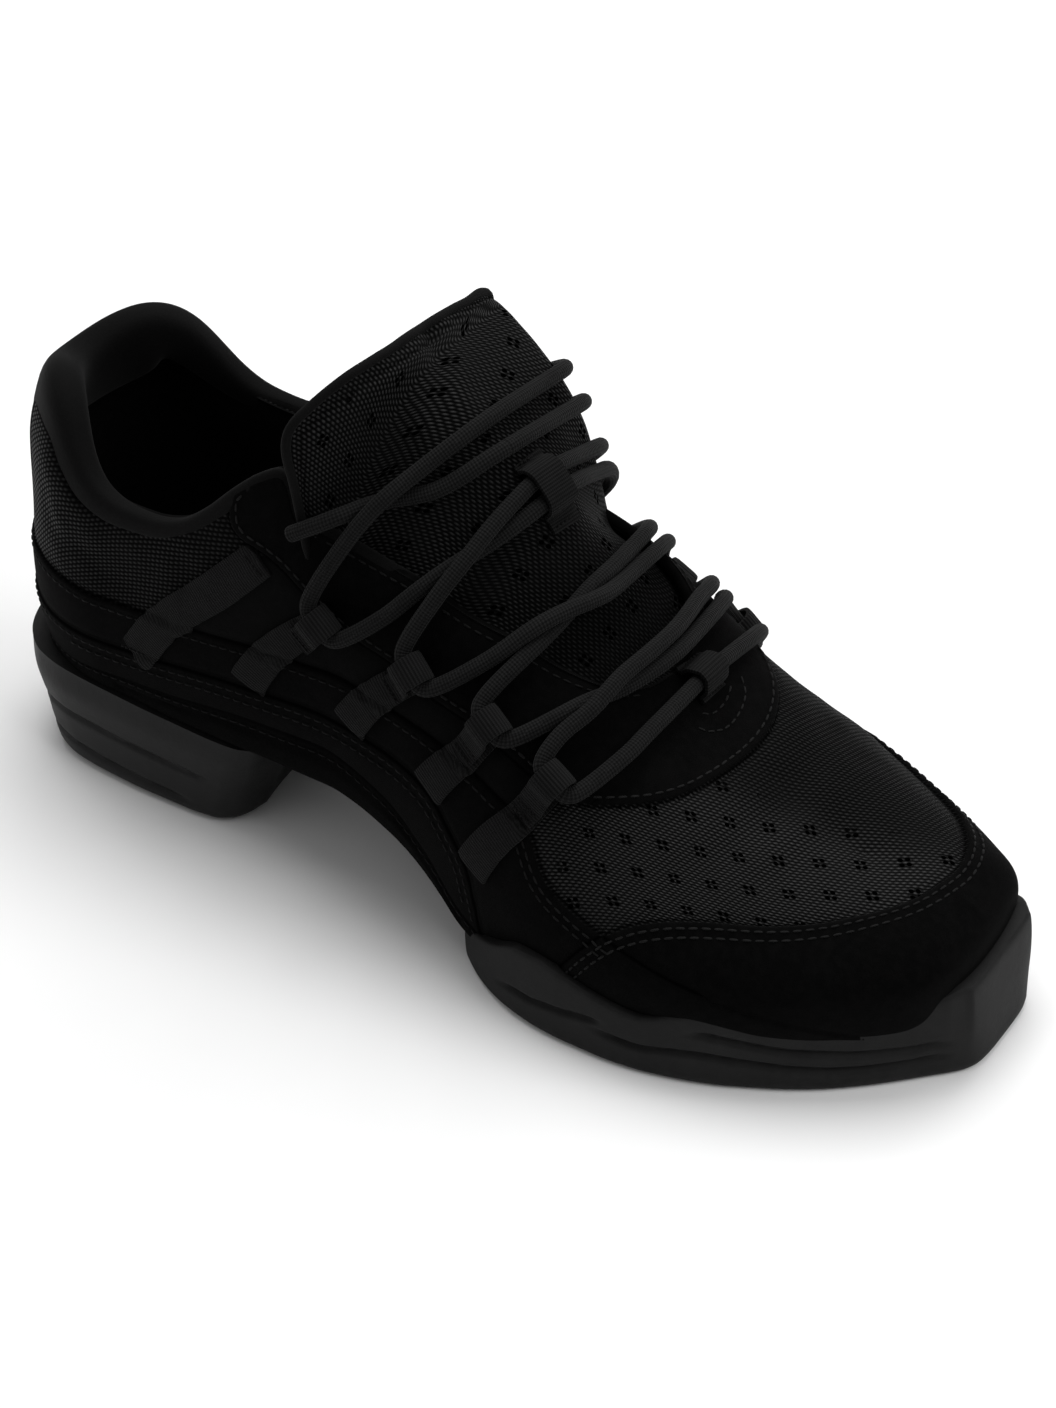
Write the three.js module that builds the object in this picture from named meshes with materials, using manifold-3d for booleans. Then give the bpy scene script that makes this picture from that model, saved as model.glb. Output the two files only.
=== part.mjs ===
// Split-sole dance sneaker, right foot, standing empty and unlaced from any foot.
// Millimetres. In the working frame x runs from the heel (0) to the toe, y is
// negative on the outer (lateral) side, z is up from the floor. The last lines
// shift everything so that the origin is under the middle of the shoe.
import * as THREE from 'three';
import { mergeVertices } from 'three/addons/utils/BufferGeometryUtils.js';
import Module from 'manifold-3d';

// ---------------------------------------------------------------- sizes
const LAST_LENGTH = 256;      // toe end of the upper
const HEEL_ROUND = 37;        // how far the heel's rounding reaches forward
const TOE_ROUND = 66;         // how far the toe's rounding reaches back
const WALL = 2.4;             // upper's wall
const COLLAR_WALL = 3.0;      // upper's wall where the collar is padded
const GAP = 0.3;              // between pieces that touch
const INSOLE_INSET = 0.5;     // insole edge to the upper's inside
const TONGUE_THICK = 3.4;
const LACE_D = 4.2;           // round braided lace
const LOOP_THICK = 1.5;       // webbing of the lace loops
const LOOP_WIDTH = 8.0;
const ORIGIN_X = 130.0;       // middle of the length
const ORIGIN_Y = -1.6;        // middle of the width

// ---------------------------------------------------------------- tables
const rows = (names, list) => list.map(r => Object.fromEntries(names.map((n, i) => [n, r[i]])));

// The last's outer form, a row for each station X along the length.
// wl, wm half widths lateral and medial; zf feather edge; zw height of the
// widest line; zr ridge height; pl, pm roundness of the lateral and medial
// side above the widest line; gb feather width share; yr sideways place of the ridge
const SEC = rows(['X', 'wl', 'wm', 'zf', 'zw', 'zr', 'pl', 'pm', 'gb', 'yr'], [
  [0, 32.0, 31.5, 30.5, 46.0, 150.0, 2.60, 2.60, 0.94, 0.0],
  [20, 32.5, 32.0, 31.2, 46.0, 150.0, 2.60, 2.60, 0.94, 0.0],
  [40, 33.0, 32.5, 33.5, 46.0, 146.5, 2.50, 2.50, 0.94, 0.0],
  [60, 34.0, 32.8, 35.5, 46.0, 139.8, 2.40, 2.40, 0.94, 0.0],
  [80, 34.0, 32.3, 37.5, 46.5, 130.7, 2.30, 2.35, 0.94, 0.0],
  [100, 34.0, 32.0, 38.2, 46.5, 118.1, 2.15, 2.30, 0.94, 1.0],
  [120, 36.5, 34.0, 33.5, 45.0, 104.9, 2.12, 2.50, 0.94, 2.0],
  [135, 40.5, 37.0, 25.0, 41.0, 94.8, 2.03, 2.52, 0.94, 3.0],
  [145, 43.5, 39.5, 15.5, 37.0, 88.2, 2.01, 2.50, 0.94, 3.5],
  [155, 46.5, 42.0, 10.0, 32.0, 80.2, 2.05, 2.50, 0.93, 4.0],
  [165, 49.0, 44.0, 8.2, 28.0, 71.5, 2.11, 2.46, 0.91, 4.0],
  [180, 51.0, 46.0, 8.0, 25.0, 60.4, 2.14, 2.29, 0.90, 4.0],
  [195, 51.5, 46.6, 8.0, 24.0, 52.1, 2.21, 2.20, 0.90, 3.5],
  [210, 51.5, 46.8, 8.0, 24.0, 46.4, 2.19, 2.13, 0.90, 3.0],
  [225, 51.5, 46.5, 8.5, 24.5, 42.9, 2.16, 2.11, 0.90, 2.0],
  [240, 51.5, 46.0, 9.5, 25.5, 40.6, 2.20, 2.16, 0.90, 1.0],
  [256, 51.5, 45.5, 11.0, 27.0, 39.0, 2.30, 2.30, 0.90, 0.0]]);

// Back and front end of the ring at section angle a (0 feather, 1 widest, 2 ridge).
const ENDS = rows(['a', 'xb', 'xf'], [
  [0.00, -0.8, 253.0], [0.50, -1.8, 255.5], [1.00, -2.0, 256.0], [1.10, -0.4, 255.8], [1.18, 2.4, 255.2],
  [1.25, 6.0, 254.4], [1.50, 8.5, 250.0], [1.70, 9.5, 243.0], [1.85, 10.2, 234.0], [2.00, 11.0, 222.0]]);

// Toe outline: share of the half width left, by t (0 at the toe end, 1 where it starts).
const TOE = rows(['t', 'el', 'em'], [
  [0.00, 0.000, 0.000], [0.10, 0.190, 0.235], [0.18, 0.330, 0.390], [0.26, 0.430, 0.475],
  [0.40, 0.560, 0.580], [0.52, 0.670, 0.680], [0.64, 0.790, 0.785], [0.74, 0.875, 0.868],
  [0.84, 0.945, 0.940], [0.92, 0.985, 0.985], [1.00, 1.000, 1.000]]);

// Top line of the collar: height at true x, lateral and medial.
const COLLAR = rows(['x', 'zl', 'zm'], [
  [5.0, 90.5, 90.5], [7.0, 93.0, 93.0], [11.0, 96.0, 96.0], [16.0, 98.0, 98.5], [22.0, 97.5, 99.0],
  [28.0, 92.0, 94.5], [34.0, 86.0, 87.5], [42.0, 84.0, 83.5], [52.0, 84.0, 82.5], [60.0, 86.0, 84.5],
  [68.0, 91.5, 93.0], [76.0, 99.5, 101.5], [83.0, 105.0, 107.5], [88.0, 106.5, 109.0]]);
// Throat edge: y at true x, lateral and medial, down to the throat's bottom.
const THROAT = rows(['x', 'yl', 'ym'], [
  [93.0, -27.5, 29.0], [100.0, -26.5, 29.0], [113.0, -25.3, 29.0], [124.0, -24.6, 29.0],
  [136.0, -23.6, 29.0], [148.0, -21.3, 28.6], [156.0, -19.3, 27.6], [163.0, -15.8, 25.0],
  [168.0, -11.0, 20.5], [171.5, -5.0, 13.5], [173.0, 3.6, 3.8]]);

// ---------------------------------------------------------------- small maths
function slopes(xs, ys) {
  const n = xs.length, d = [], m = new Array(n).fill(0);
  for (let i = 0; i < n - 1; i++) d.push((ys[i + 1] - ys[i]) / (xs[i + 1] - xs[i]));
  for (let i = 1; i < n - 1; i++) {
    if (d[i - 1] * d[i] > 0) {
      const h0 = xs[i] - xs[i - 1], h1 = xs[i + 1] - xs[i];
      const w1 = 2 * h1 + h0, w2 = h1 + 2 * h0;
      m[i] = (w1 + w2) / (w1 / d[i - 1] + w2 / d[i]);
    }
  }
  m[0] = d[0]; m[n - 1] = d[n - 2];
  return m;
}
// smooth curve through a table's column, never overshooting
function curve(table, key, col) {
  const xs = table.map(r => r[key]), ys = table.map(r => r[col]), m = slopes(xs, ys);
  return x => {
    const n = xs.length; x = Math.min(Math.max(x, xs[0]), xs[n - 1]);
    let k = 0; while (k < n - 2 && x > xs[k + 1]) k++;
    const h = xs[k + 1] - xs[k], t = (x - xs[k]) / h, t2 = t * t, t3 = t2 * t;
    return (2 * t3 - 3 * t2 + 1) * ys[k] + (t3 - 2 * t2 + t) * h * m[k]
      + (-2 * t3 + 3 * t2) * ys[k + 1] + (t3 - t2) * h * m[k + 1];
  };
}
const clamp = (v, a, b) => Math.min(Math.max(v, a), b);
const sec = Object.fromEntries(Object.keys(SEC[0]).slice(1).map(c => [c, curve(SEC, 'X', c)]));
const endB = curve(ENDS, 'a', 'xb'), endF = curve(ENDS, 'a', 'xf');
const toeL = curve(TOE, 't', 'el'), toeM = curve(TOE, 't', 'em');
const share = s => (1 - Math.cos(Math.PI * s)) / 2;
// the front ends pull the sections back only near the toe above the widest line
const PULL = 6;
const bend = (a, c) => (LAST_LENGTH - endF(a)) * (a < 1 ? c : Math.pow(c, PULL));
const sweep = (a, c) => endB(a) + (LAST_LENGTH - endB(a)) * c - bend(a, c);
const station = (x, a, X) => LAST_LENGTH * clamp((x - endB(a) + bend(a, X / LAST_LENGTH)) / (LAST_LENGTH - endB(a)), 0, 1);
const shareInv = c => Math.acos(clamp(1 - 2 * c, -1, 1)) / Math.PI;

// The shoe's form: s 0..1 from heel to toe, a 0..2 up the section, side -1 or +1.
function form(s, a, side) {
  const c = share(s), X = LAST_LENGTH * c;
  const x = sweep(a, c);
  const w = side < 0 ? sec.wl(X) : sec.wm(X), p = side < 0 ? sec.pl(X) : sec.pm(X);
  const u = clamp((HEEL_ROUND - X) / HEEL_ROUND, 0, 1), eh = Math.sqrt(Math.max(0, 1 - u * u));
  const t = Math.sqrt(clamp((LAST_LENGTH - X) / TOE_ROUND, 0, 1)), et = side < 0 ? toeL(t) : toeM(t);
  const lean = (toeL(t) + toeM(t)) / 2;
  const zf = sec.zf(X), zw = sec.zw(X), zr = sec.zr(X), gb = sec.gb(X);
  let g, z, v = 0;
  if (a < 1) { g = gb + (1 - gb) * Math.sin(Math.PI / 2 * a); z = zf + (zw - zf) * a; }
  else {
    const th = Math.PI / 2 * Math.min(a - 1, 1);
    g = Math.pow(Math.max(0, Math.cos(th)), 2 / p); v = Math.sin(th); z = zw + (zr - zw) * Math.pow(v, 2 / p);
    if (a >= 2) g = 0;
  }
  return [x, (sec.yr(X) * v * v * lean + side * w * g * et) * eh, z];
}
// station and section angle where the form has a given height or a given y at true x
function atHeight(x, z, side) {
  let X = x, a = 1;
  for (let i = 0; i < 30; i++) {
    const p = side < 0 ? sec.pl(X) : sec.pm(X), v = clamp((z - sec.zw(X)) / (sec.zr(X) - sec.zw(X)), 0, 1);
    a = 1 + Math.asin(Math.pow(v, p / 2)) / (Math.PI / 2);
    X = station(x, a, X);
  }
  return { X, a };
}
function atSide(x, y, side) {
  let X = x, a = 1.5;
  for (let i = 0; i < 40; i++) {
    let lo = 1, hi = 2;
    const s = shareInv(X / LAST_LENGTH);
    for (let k = 0; k < 40; k++) {
      const m = (lo + hi) / 2;
      if (side * form(s, m, side)[1] > side * y) lo = m; else hi = m;
    }
    a = (lo + hi) / 2;
    X = 0.5 * X + 0.5 * station(x, a, X);
  }
  return { X, a };
}
function rimTable(side) {
  const out = [];
  for (const r of COLLAR) out.push(atHeight(r.x, side < 0 ? r.zl : r.zm, side));
  for (const r of THROAT.slice(0, -1)) out.push(atSide(r.x, side < 0 ? r.yl : r.ym, side));
  const last = THROAT[THROAT.length - 1];
  let X = last.x;
  for (let i = 0; i < 60; i++) X = station(last.x, 2, X);
  out.push({ X, a: 2 });
  out[0].X = 0;
  return out;
}
const RIM = { '-1': rimTable(-1), '1': rimTable(1) };
const rimL = curve(RIM['-1'], 'X', 'a'), rimM = curve(RIM['1'], 'X', 'a');
const throatX = RIM['1'][RIM['1'].length - 1].X;
const rimAngle = (X, side) => X >= throatX - 1e-4 ? 2 : (side < 0 ? rimL(X) : rimM(X));

// ---------------------------------------------------------------- mesh helpers
class Soup {
  constructor() { this.v = []; }
  tri(a, b, c) { this.v.push(...a, ...b, ...c); }
  quad(a, b, c, d) { this.tri(a, b, c); this.tri(a, c, d); }
  geometry() {
    const g = new THREE.BufferGeometry();
    g.setAttribute('position', new THREE.BufferAttribute(new Float32Array(this.v), 3));
    const m = mergeVertices(g, 1e-3), p = m.attributes.position.array, keep = [], ix = m.index.array;
    for (let i = 0; i < ix.length; i += 3) {
      const [a, b, c] = [ix[i], ix[i + 1], ix[i + 2]];
      if (a !== b && b !== c && a !== c) keep.push(a, b, c);
    }
    const out = new THREE.BufferGeometry();
    out.setAttribute('position', new THREE.BufferAttribute(new Float32Array(p), 3));
    out.setIndex(keep);
    return orient(out);
  }
}
function volume(g) {
  const p = g.attributes.position.array, ix = g.index.array; let v = 0;
  for (let i = 0; i < ix.length; i += 3) {
    const a = ix[i] * 3, b = ix[i + 1] * 3, c = ix[i + 2] * 3;
    v += p[a] * (p[b + 1] * p[c + 2] - p[b + 2] * p[c + 1]) - p[a + 1] * (p[b] * p[c + 2] - p[b + 2] * p[c]) + p[a + 2] * (p[b] * p[c + 1] - p[b + 1] * p[c]);
  }
  return v / 6;
}
function orient(g) {
  if (volume(g) < 0) {
    const ix = Array.from(g.index.array);
    for (let i = 0; i < ix.length; i += 3) [ix[i + 1], ix[i + 2]] = [ix[i + 2], ix[i + 1]];
    g.setIndex(ix);
  }
  return g;
}
// closed solid through rings of equally many points; the end rings are capped from their middles
function loft(rings, closeEnds = true) {
  const s = new Soup(), n = rings[0].length;
  for (let i = 0; i + 1 < rings.length; i++)
    for (let j = 0; j < n; j++) {
      const k = (j + 1) % n;
      s.quad(rings[i][j], rings[i][k], rings[i + 1][k], rings[i + 1][j]);
    }
  if (closeEnds) for (const [r, flip] of [[rings[0], true], [rings[rings.length - 1], false]]) {
    const m = [0, 1, 2].map(k => r.reduce((t, q) => t + q[k], 0) / n);
    for (let j = 0; j < n; j++) { const k = (j + 1) % n; flip ? s.tri(r[k], r[j], m) : s.tri(r[j], r[k], m); }
  }
  return s.geometry();
}
const wasm = await Module();
wasm.setup();
function solid(g) {
  const q = g.index ? g.clone() : g;
  q.deleteAttribute('normal'); q.deleteAttribute('uv');
  const m = mergeVertices(q, 1e-4);
  const out = new wasm.Manifold(new wasm.Mesh({ numProp: 3, vertProperties: new Float32Array(m.attributes.position.array), triVerts: new Uint32Array(m.index.array) }));
  return out;
}
function fromSolid(m) {
  m = m.asOriginal().simplify(0.02);
  const q = m.getMesh(), g = new THREE.BufferGeometry();
  g.setAttribute('position', new THREE.BufferAttribute(new Float32Array(q.vertProperties), 3));
  g.setIndex(Array.from(q.triVerts));
  return g;
}
const group = new THREE.Group();
const body = new THREE.Group();
body.position.set(-ORIGIN_X, -ORIGIN_Y, 0);
group.add(body);
function add(name, geometry, color, roughness = 0.9, metalness = 0) {
  const m = new THREE.Mesh(geometry, new THREE.MeshStandardMaterial({ color, roughness, metalness }));
  m.name = name; body.add(m); return m;
}

// ---------------------------------------------------------------- stations
// even steps in s, with more where the top line turns quickly
function stationList() {
  const list = [];
  for (let i = 0; i <= 40; i++) list.push(i / 40);
  for (const X of [throatX - 0.6, throatX - 2.5, throatX - 6, throatX - 10.5]) list.push(shareInv(X / LAST_LENGTH));
  list.push(shareInv(throatX / LAST_LENGTH));
  for (const r of RIM['-1'].slice(4, 14)) list.push(shareInv(r.X / LAST_LENGTH));
  list.sort((a, b) => a - b);
  const out = [list[0]];
  const tx = shareInv(throatX / LAST_LENGTH);
  for (const s of list.slice(1)) {
    if (s - out[out.length - 1] > 0.0055) out.push(s);
    else if (Math.abs(s - tx) < 1e-9 || s === 1) out[out.length - 1] = s;
  }
  return out;
}
const ST = stationList();
const NA = 9;
const wallAt = (X, a) => {
  const t = clamp((a - 0.9) / 0.4, 0, 1) * clamp((104 - X) / 16, 0, 1);
  return WALL + (COLLAR_WALL - WALL) * t;
};
// outer grid of one side, rows a = rim * j / NA
const grid = side => ST.map(s => {
  const r = rimAngle(LAST_LENGTH * share(s), side);
  return Array.from({ length: NA + 1 }, (_, j) => ({ s, a: r * j / NA, side, p: form(s, r * j / NA, side) }));
});
const key = p => p.map(v => Math.round(v * 1000)).join(',');
function normals(grids) {
  const map = new Map(), put = (p, n) => {
    const k = key(p), q = map.get(k) || [0, 0, 0]; q[0] += n[0]; q[1] += n[1]; q[2] += n[2]; map.set(k, q);
  };
  for (const g of grids) {
    const side = g[0][0].side;
    for (let i = 0; i + 1 < g.length; i++) for (let j = 0; j < NA; j++) {
      const a = g[i][j].p, b = g[i + 1][j].p, c = g[i + 1][j + 1].p, d = g[i][j + 1].p;
      const e = [0, 1, 2].map(k => c[k] - a[k]), f = [0, 1, 2].map(k => d[k] - b[k]);
      const n = [e[1] * f[2] - e[2] * f[1], e[2] * f[0] - e[0] * f[2], e[0] * f[1] - e[1] * f[0]].map(v => v * (side < 0 ? 1 : -1));
      const l = Math.hypot(...n); if (l < 1e-9) continue;
      for (const q of [a, b, c, d]) put(q, n);
    }
  }
  return p => { const n = map.get(key(p)), l = Math.hypot(...n); return n.map(v => v / l); };
}
const GL = grid(-1), GM = grid(1), nrm = normals([GL, GM]);
function off(q, dist) {
  let n = nrm(q.p);
  if (q.a === 0) { const l = Math.hypot(n[0], n[1]); n = [n[0] / l, n[1] / l, 0]; }
  return q.p.map((v, k) => v + n[k] * dist);
}
// the upper's shell, or the shell grown all round to clear its neighbours
function upperGeometry(grow = 0) {
  const s = new Soup();
  for (const g of [GL, GM]) {
    const side = g[0][0].side, Q = (a, b, c, d) => side < 0 ? s.quad(a, b, c, d) : s.quad(d, c, b, a);
    const O = g.map(r => r.map(q => off(q, grow))), I = g.map(r => r.map(q => off(q, -wallAt(LAST_LENGTH * share(q.s), q.a) - grow)));
    if (grow) for (const R of [O, I]) for (let i = 0; i < R.length; i++) if (g[i][NA].a < 2) {
      const d = [0, 1, 2].map(k => R[i][NA][k] - R[i][NA - 1][k]), l = Math.hypot(...d);
      R[i][NA] = R[i][NA].map((v, k) => v + d[k] / l * grow);
    }
    for (let i = 0; i + 1 < g.length; i++) {
      for (let j = 0; j < NA; j++) {
        Q(O[i][j], O[i + 1][j], O[i + 1][j + 1], O[i][j + 1]);
        Q(I[i][j + 1], I[i + 1][j + 1], I[i + 1][j], I[i][j]);
      }
      Q(I[i][0], I[i + 1][0], O[i + 1][0], O[i][0]);
      if (!(g[i][NA].a >= 2 && g[i + 1][NA].a >= 2)) Q(O[i][NA], O[i + 1][NA], I[i + 1][NA], I[i][NA]);
    }
  }
  return s.geometry();
}
add('upper', upperGeometry(), 0x141414, 0.95);

// ---------------------------------------------------------------- boards under the foot
// Top line of the insole, underside of the midsole and the floor of the front cup by true x
const BOARD = rows(['x', 'insole', 'under'], [
  [0, 35.0, 27.9], [20, 35.3, 27.9], [40, 37.3, 27.5], [60, 39.2, 26.5], [80, 41.0, 25.4],
  [90, 41.4, 25.0], [100, 41.2, 24.8], [109, 40.2, 23.3], [116, 38.8, 21.6], [122, 37.2, 20.0],
  [129, 34.8, 17.6], [137, 31.6, 13.2], [144, 28.0, 9.0], [150, 24.8, 8.0], [156, 21.6, 7.8],
  [165, 17.5, 7.7], [180, 13.2, 7.7], [195, 11.4, 7.7], [210, 11.2, 7.7], [225, 11.7, 8.2], [240, 12.6, 9.2], [254, 14.0, 10.7]]);
const insoleTop = curve(BOARD, 'x', 'insole'), underside = curve(BOARD, 'x', 'under');
const MID_X1 = 157.0;
// the upper's own stations, from s0 as far as true x1 on the feather edge
const stationsTo = (s0, x1) => ST.filter((s, i) => s > s0 && form(s, 0, -1)[0] <= x1 );
// the feather edge moved along its own plan normal
function feather(s, side, dist) {
  const e = 2e-3, p = form(s, 0, side), q = form(Math.min(s + e, 1), 0, side), r = form(Math.max(s - e, 0), 0, side);
  const t = [q[0] - r[0], q[1] - r[1]], l = Math.hypot(...t);
  return [p[0] + side * -t[1] / l * dist, p[1] + side * t[0] / l * dist, p[2]];
}
const mix = (p, q, v) => p + (q - p) * v;
// flat-topped board between heel and arch; grow enlarges it all round
function midsole(grow) {
  const rings = [], list = stationsTo(0.03, MID_X1);
  for (const s of list) {
    const zt = form(s, 0, -1)[2] - GAP + grow, zb = underside(form(s, 0, -1)[0]) - grow;
    const h = zt - zb, tuck = clamp((h - 3) / 10, 0, 1);
    const end = s === list[list.length - 1] ? grow : 0;
    const P = (side, inn, f) => { const p = feather(s, side, 0.5 + grow - inn * tuck); return [p[0] + end, p[1], zb + h * f]; };
    const ring = [], side = [[1, 0], [0.6, -0.5], [0.25, 0.4], [0, 2.6]];
    for (const [f, inn] of side) ring.push(P(-1, inn, f));
    const bl = ring[3], br = P(1, 2.6, 0), tl = ring[0], tr = P(1, 0, 1);
    for (const v of [0.33, 0.66]) ring.push([0, 1, 2].map(k => mix(bl[k], br[k], v)));
    for (const [f, inn] of side.slice().reverse()) ring.push(P(1, inn, f));
    for (const v of [0.66, 0.33]) ring.push([0, 1, 2].map(k => mix(tl[k], tr[k], v)));
    rings.push(ring);
  }
  return loft(rings);
}
add('midsole', midsole(0), 0x101010, 0.95);

// contoured footbed inside the upper
function insole() {
  const rings = [];
  const all = stationsTo(0.06, 251);
  for (const s of all.filter((v, i) => i % 2 === 0 || i === all.length - 1 || Math.abs(LAST_LENGTH * share(v) - 105) < 24)) {
    const X = LAST_LENGTH * share(s), inset = WALL + INSOLE_INSET, zb = sec.zf(X) + 0.4;
    const l = feather(s, -1, -inset), m = feather(s, 1, -inset), ring = [];
    if (m[1] - l[1] < 8) continue;
    const P = (v, z) => [mix(l[0], m[0], v), mix(l[1], m[1], v), z];
    const zt = insoleTop(l[0]), zr = insoleTop(m[0]);
    ring.push(P(0, zt + 0.8), P(0, zb), P(0.35, zb), P(0.65, zb), P(1, zb), P(1, zr + 0.8));
    for (const v of [0.75, 0.5, 0.25]) ring.push(P(v, mix(zt, zr, v) - (v === 0.5 ? 0.3 : 0)));
    rings.push(ring);
  }
  return loft(rings);
}
add('insole', insole(), 0x0c0c0c, 0.95);

// ---------------------------------------------------------------- front outsole with toe block
// Floor outline, lateral side from the back corner to the block, then back along the medial side.
const CUP = rows(['x', 'y', 'top'], [
  [139.0, -30.0, 8.2], [141.5, -37.0, 8.6], [148.0, -43.6, 11.5], [156.0, -48.6, 15.5], [164.0, -51.6, 20.0], [171.0, -53.0, 20.6],
  [178.0, -53.6, 19.4], [187.0, -53.6, 17.2], [196.0, -52.8, 15.8], [205.0, -50.8, 18.6], [214.0, -47.8, 21.4],
  [222.0, -44.0, 21.2], [230.0, -39.6, 19.8], [237.0, -34.8, 18.8], [244.0, -29.0, 18.0], [250.0, -23.2, 19.5], [255.0, -18.0, 23.0], [259.5, -13.8, 24.0], [262.0, -12.4, 24.0],
  [262.0, 2.0, 24.6], [262.0, 16.2, 25.2], [259.5, 18.0, 25.2], [256.0, 20.6, 24.6], [250.0, 25.2, 21.0], [244.0, 30.2, 18.4], [237.0, 35.2, 18.0],
  [230.0, 39.5, 19.0], [221.0, 43.6, 20.6], [214.0, 45.6, 21.0], [205.0, 47.4, 18.0], [196.0, 48.2, 15.8], [187.0, 48.6, 17.2], [178.0, 48.4, 19.4], [171.0, 47.4, 20.6],
  [164.0, 45.6, 20.0], [156.0, 42.4, 15.5], [148.0, 38.2, 11.5], [143.5, 33.0, 8.6], [142.0, 27.0, 8.2],
  [140.0, 14.0, 8.2], [138.8, 0.0, 8.2], [138.2, -15.0, 8.2]]);
const RAKE = 3.0;      // the block's face leans back by this at its top
function cupBody() {
  const c = [200, -1], rings = [];
  for (const [f, inset] of [[0, 1.6], [0.09, 0.2], [0.5, 0], [0.85, 0.3], [1, 1.1]]) {
    rings.push(CUP.map(r => {
      const front = clamp((r.x - 256) / 6, 0, 1), back = clamp((144 - r.x) / 5, 0, 1);
      const d = [r.x - c[0], r.y - c[1]], l = Math.hypot(...d);
      let x = r.x - d[0] / l * inset, y = r.y - d[1] / l * inset;
      x -= front * RAKE * f * (1 - 0.2 * f);
      x += back * 1.5 * (1 - f);
      return [x, y, r.top * f];
    }));
  }
  return loft(rings);
}
// filled lower part of the form, grown by the gap, used to hollow the cup
function formPlug() {
  const s = new Soup(), rowsA = [0, 0.3, 0.6, 0.9, 1.15, 1.35], from = ST.findIndex(v => LAST_LENGTH * share(v) > 96);
  const P = side => ST.slice(from).map(v => rowsA.map(a => {
    const p = form(v, a, side), e = 1e-3, q = form(Math.min(v + e, 1), a, side), r = form(Math.max(v - e, 0), a, side);
    const up = form(v, a + e, side), dn = form(v, Math.max(a - e, 0), side);
    const t = [0, 1, 2].map(k => q[k] - r[k]), w = [0, 1, 2].map(k => up[k] - dn[k]);
    let n = [t[1] * w[2] - t[2] * w[1], t[2] * w[0] - t[0] * w[2], t[0] * w[1] - t[1] * w[0]].map(x => x * (side < 0 ? 1 : -1));
    const l = Math.hypot(...n) || 1; n = n.map(x => x / l);
    if (v === 1) n = [1, 0, 0];
    return [p[0] + n[0] * GAP * 1.15, p[1] + n[1] * GAP * 1.15, p[2] + (a === 0 ? -GAP : n[2] * GAP)];
  }));
  const L = P(-1), M = P(1), n = L.length, m = rowsA.length;
  L[n - 1] = L[n - 1].map(q => [q[0], 0, q[2]]); M[n - 1] = L[n - 1];
  for (let i = 0; i + 1 < n; i++) {
    for (let j = 0; j + 1 < m; j++) {
      s.quad(L[i][j], L[i + 1][j], L[i + 1][j + 1], L[i][j + 1]);
      s.quad(M[i][j + 1], M[i + 1][j + 1], M[i + 1][j], M[i][j]);
    }
    s.quad(M[i][0], M[i + 1][0], L[i + 1][0], L[i][0]);
    s.quad(L[i][m - 1], L[i + 1][m - 1], M[i + 1][m - 1], M[i][m - 1]);
  }
  for (let j = 0; j + 1 < m; j++) s.quad(L[0][j], L[0][j + 1], M[0][j + 1], M[0][j]);
  return s.geometry();
}
// grooves across the tread that part the main lugs
function bar(x, y, length, width, depth, turn) {
  const g = new THREE.BoxGeometry(width, length, depth * 2);
  g.rotateZ(turn); g.translate(x, y, 0);
  return solid(g);
}
let cup = solid(cupBody()).subtract(solid(formPlug())).subtract(solid(midsole(GAP)));
for (const [x, len, turn] of [[158, 110, 0.05], [228, 110, -0.05], [243, 90, -0.08]]) cup = cup.subtract(bar(x, 0, len, 3, 1.6, turn));
add('outsole_front', fromSolid(cup), 0x2b2b2b, 0.6);

// ---------------------------------------------------------------- heel unit
// rows from the floor up: back and front end, half width, share of the height
const HEEL = rows(['f', 'xb', 'xf', 'w'], [
  [0.00, 7.2, 71.5, 31.0], [0.06, 5.4, 73.0, 32.6], [0.40, 2.6, 76.0, 33.2], [0.75, -0.4, 79.5, 33.2], [1.00, -2.0, 82.0, 32.4]]);
const PLAN = rows(['u', 'g'], [
  [0.00, 0.00], [0.008, 0.26], [0.035, 0.50], [0.085, 0.70], [0.16, 0.85], [0.28, 0.94], [0.44, 0.98],
  [0.62, 1.0], [0.78, 1.0], [0.88, 0.985], [0.95, 0.91], [0.985, 0.78], [1.0, 0.62]]);
function heel() {
  const rings = HEEL.map(h => {
    const side = k => PLAN.map(p => {
      const x = h.xb + (h.xf - h.xb) * p.u;
      return [x, k * h.w * p.g - 0.2, h.f * (underside(x) - GAP)];
    });
    const L = side(-1), M = side(1).slice(1).reverse();
    return L.concat([[h.xf - 2.2, 0, h.f * (underside(h.xf) - GAP)]], M);
  });
  let g = solid(loft(rings));
  for (const x of [26, 44, 60]) g = g.subtract(bar(x, 0, 90, 3, 1.6, 0));
  return fromSolid(g);
}
add('outsole_heel', heel(), 0x303030, 0.55);

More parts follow.
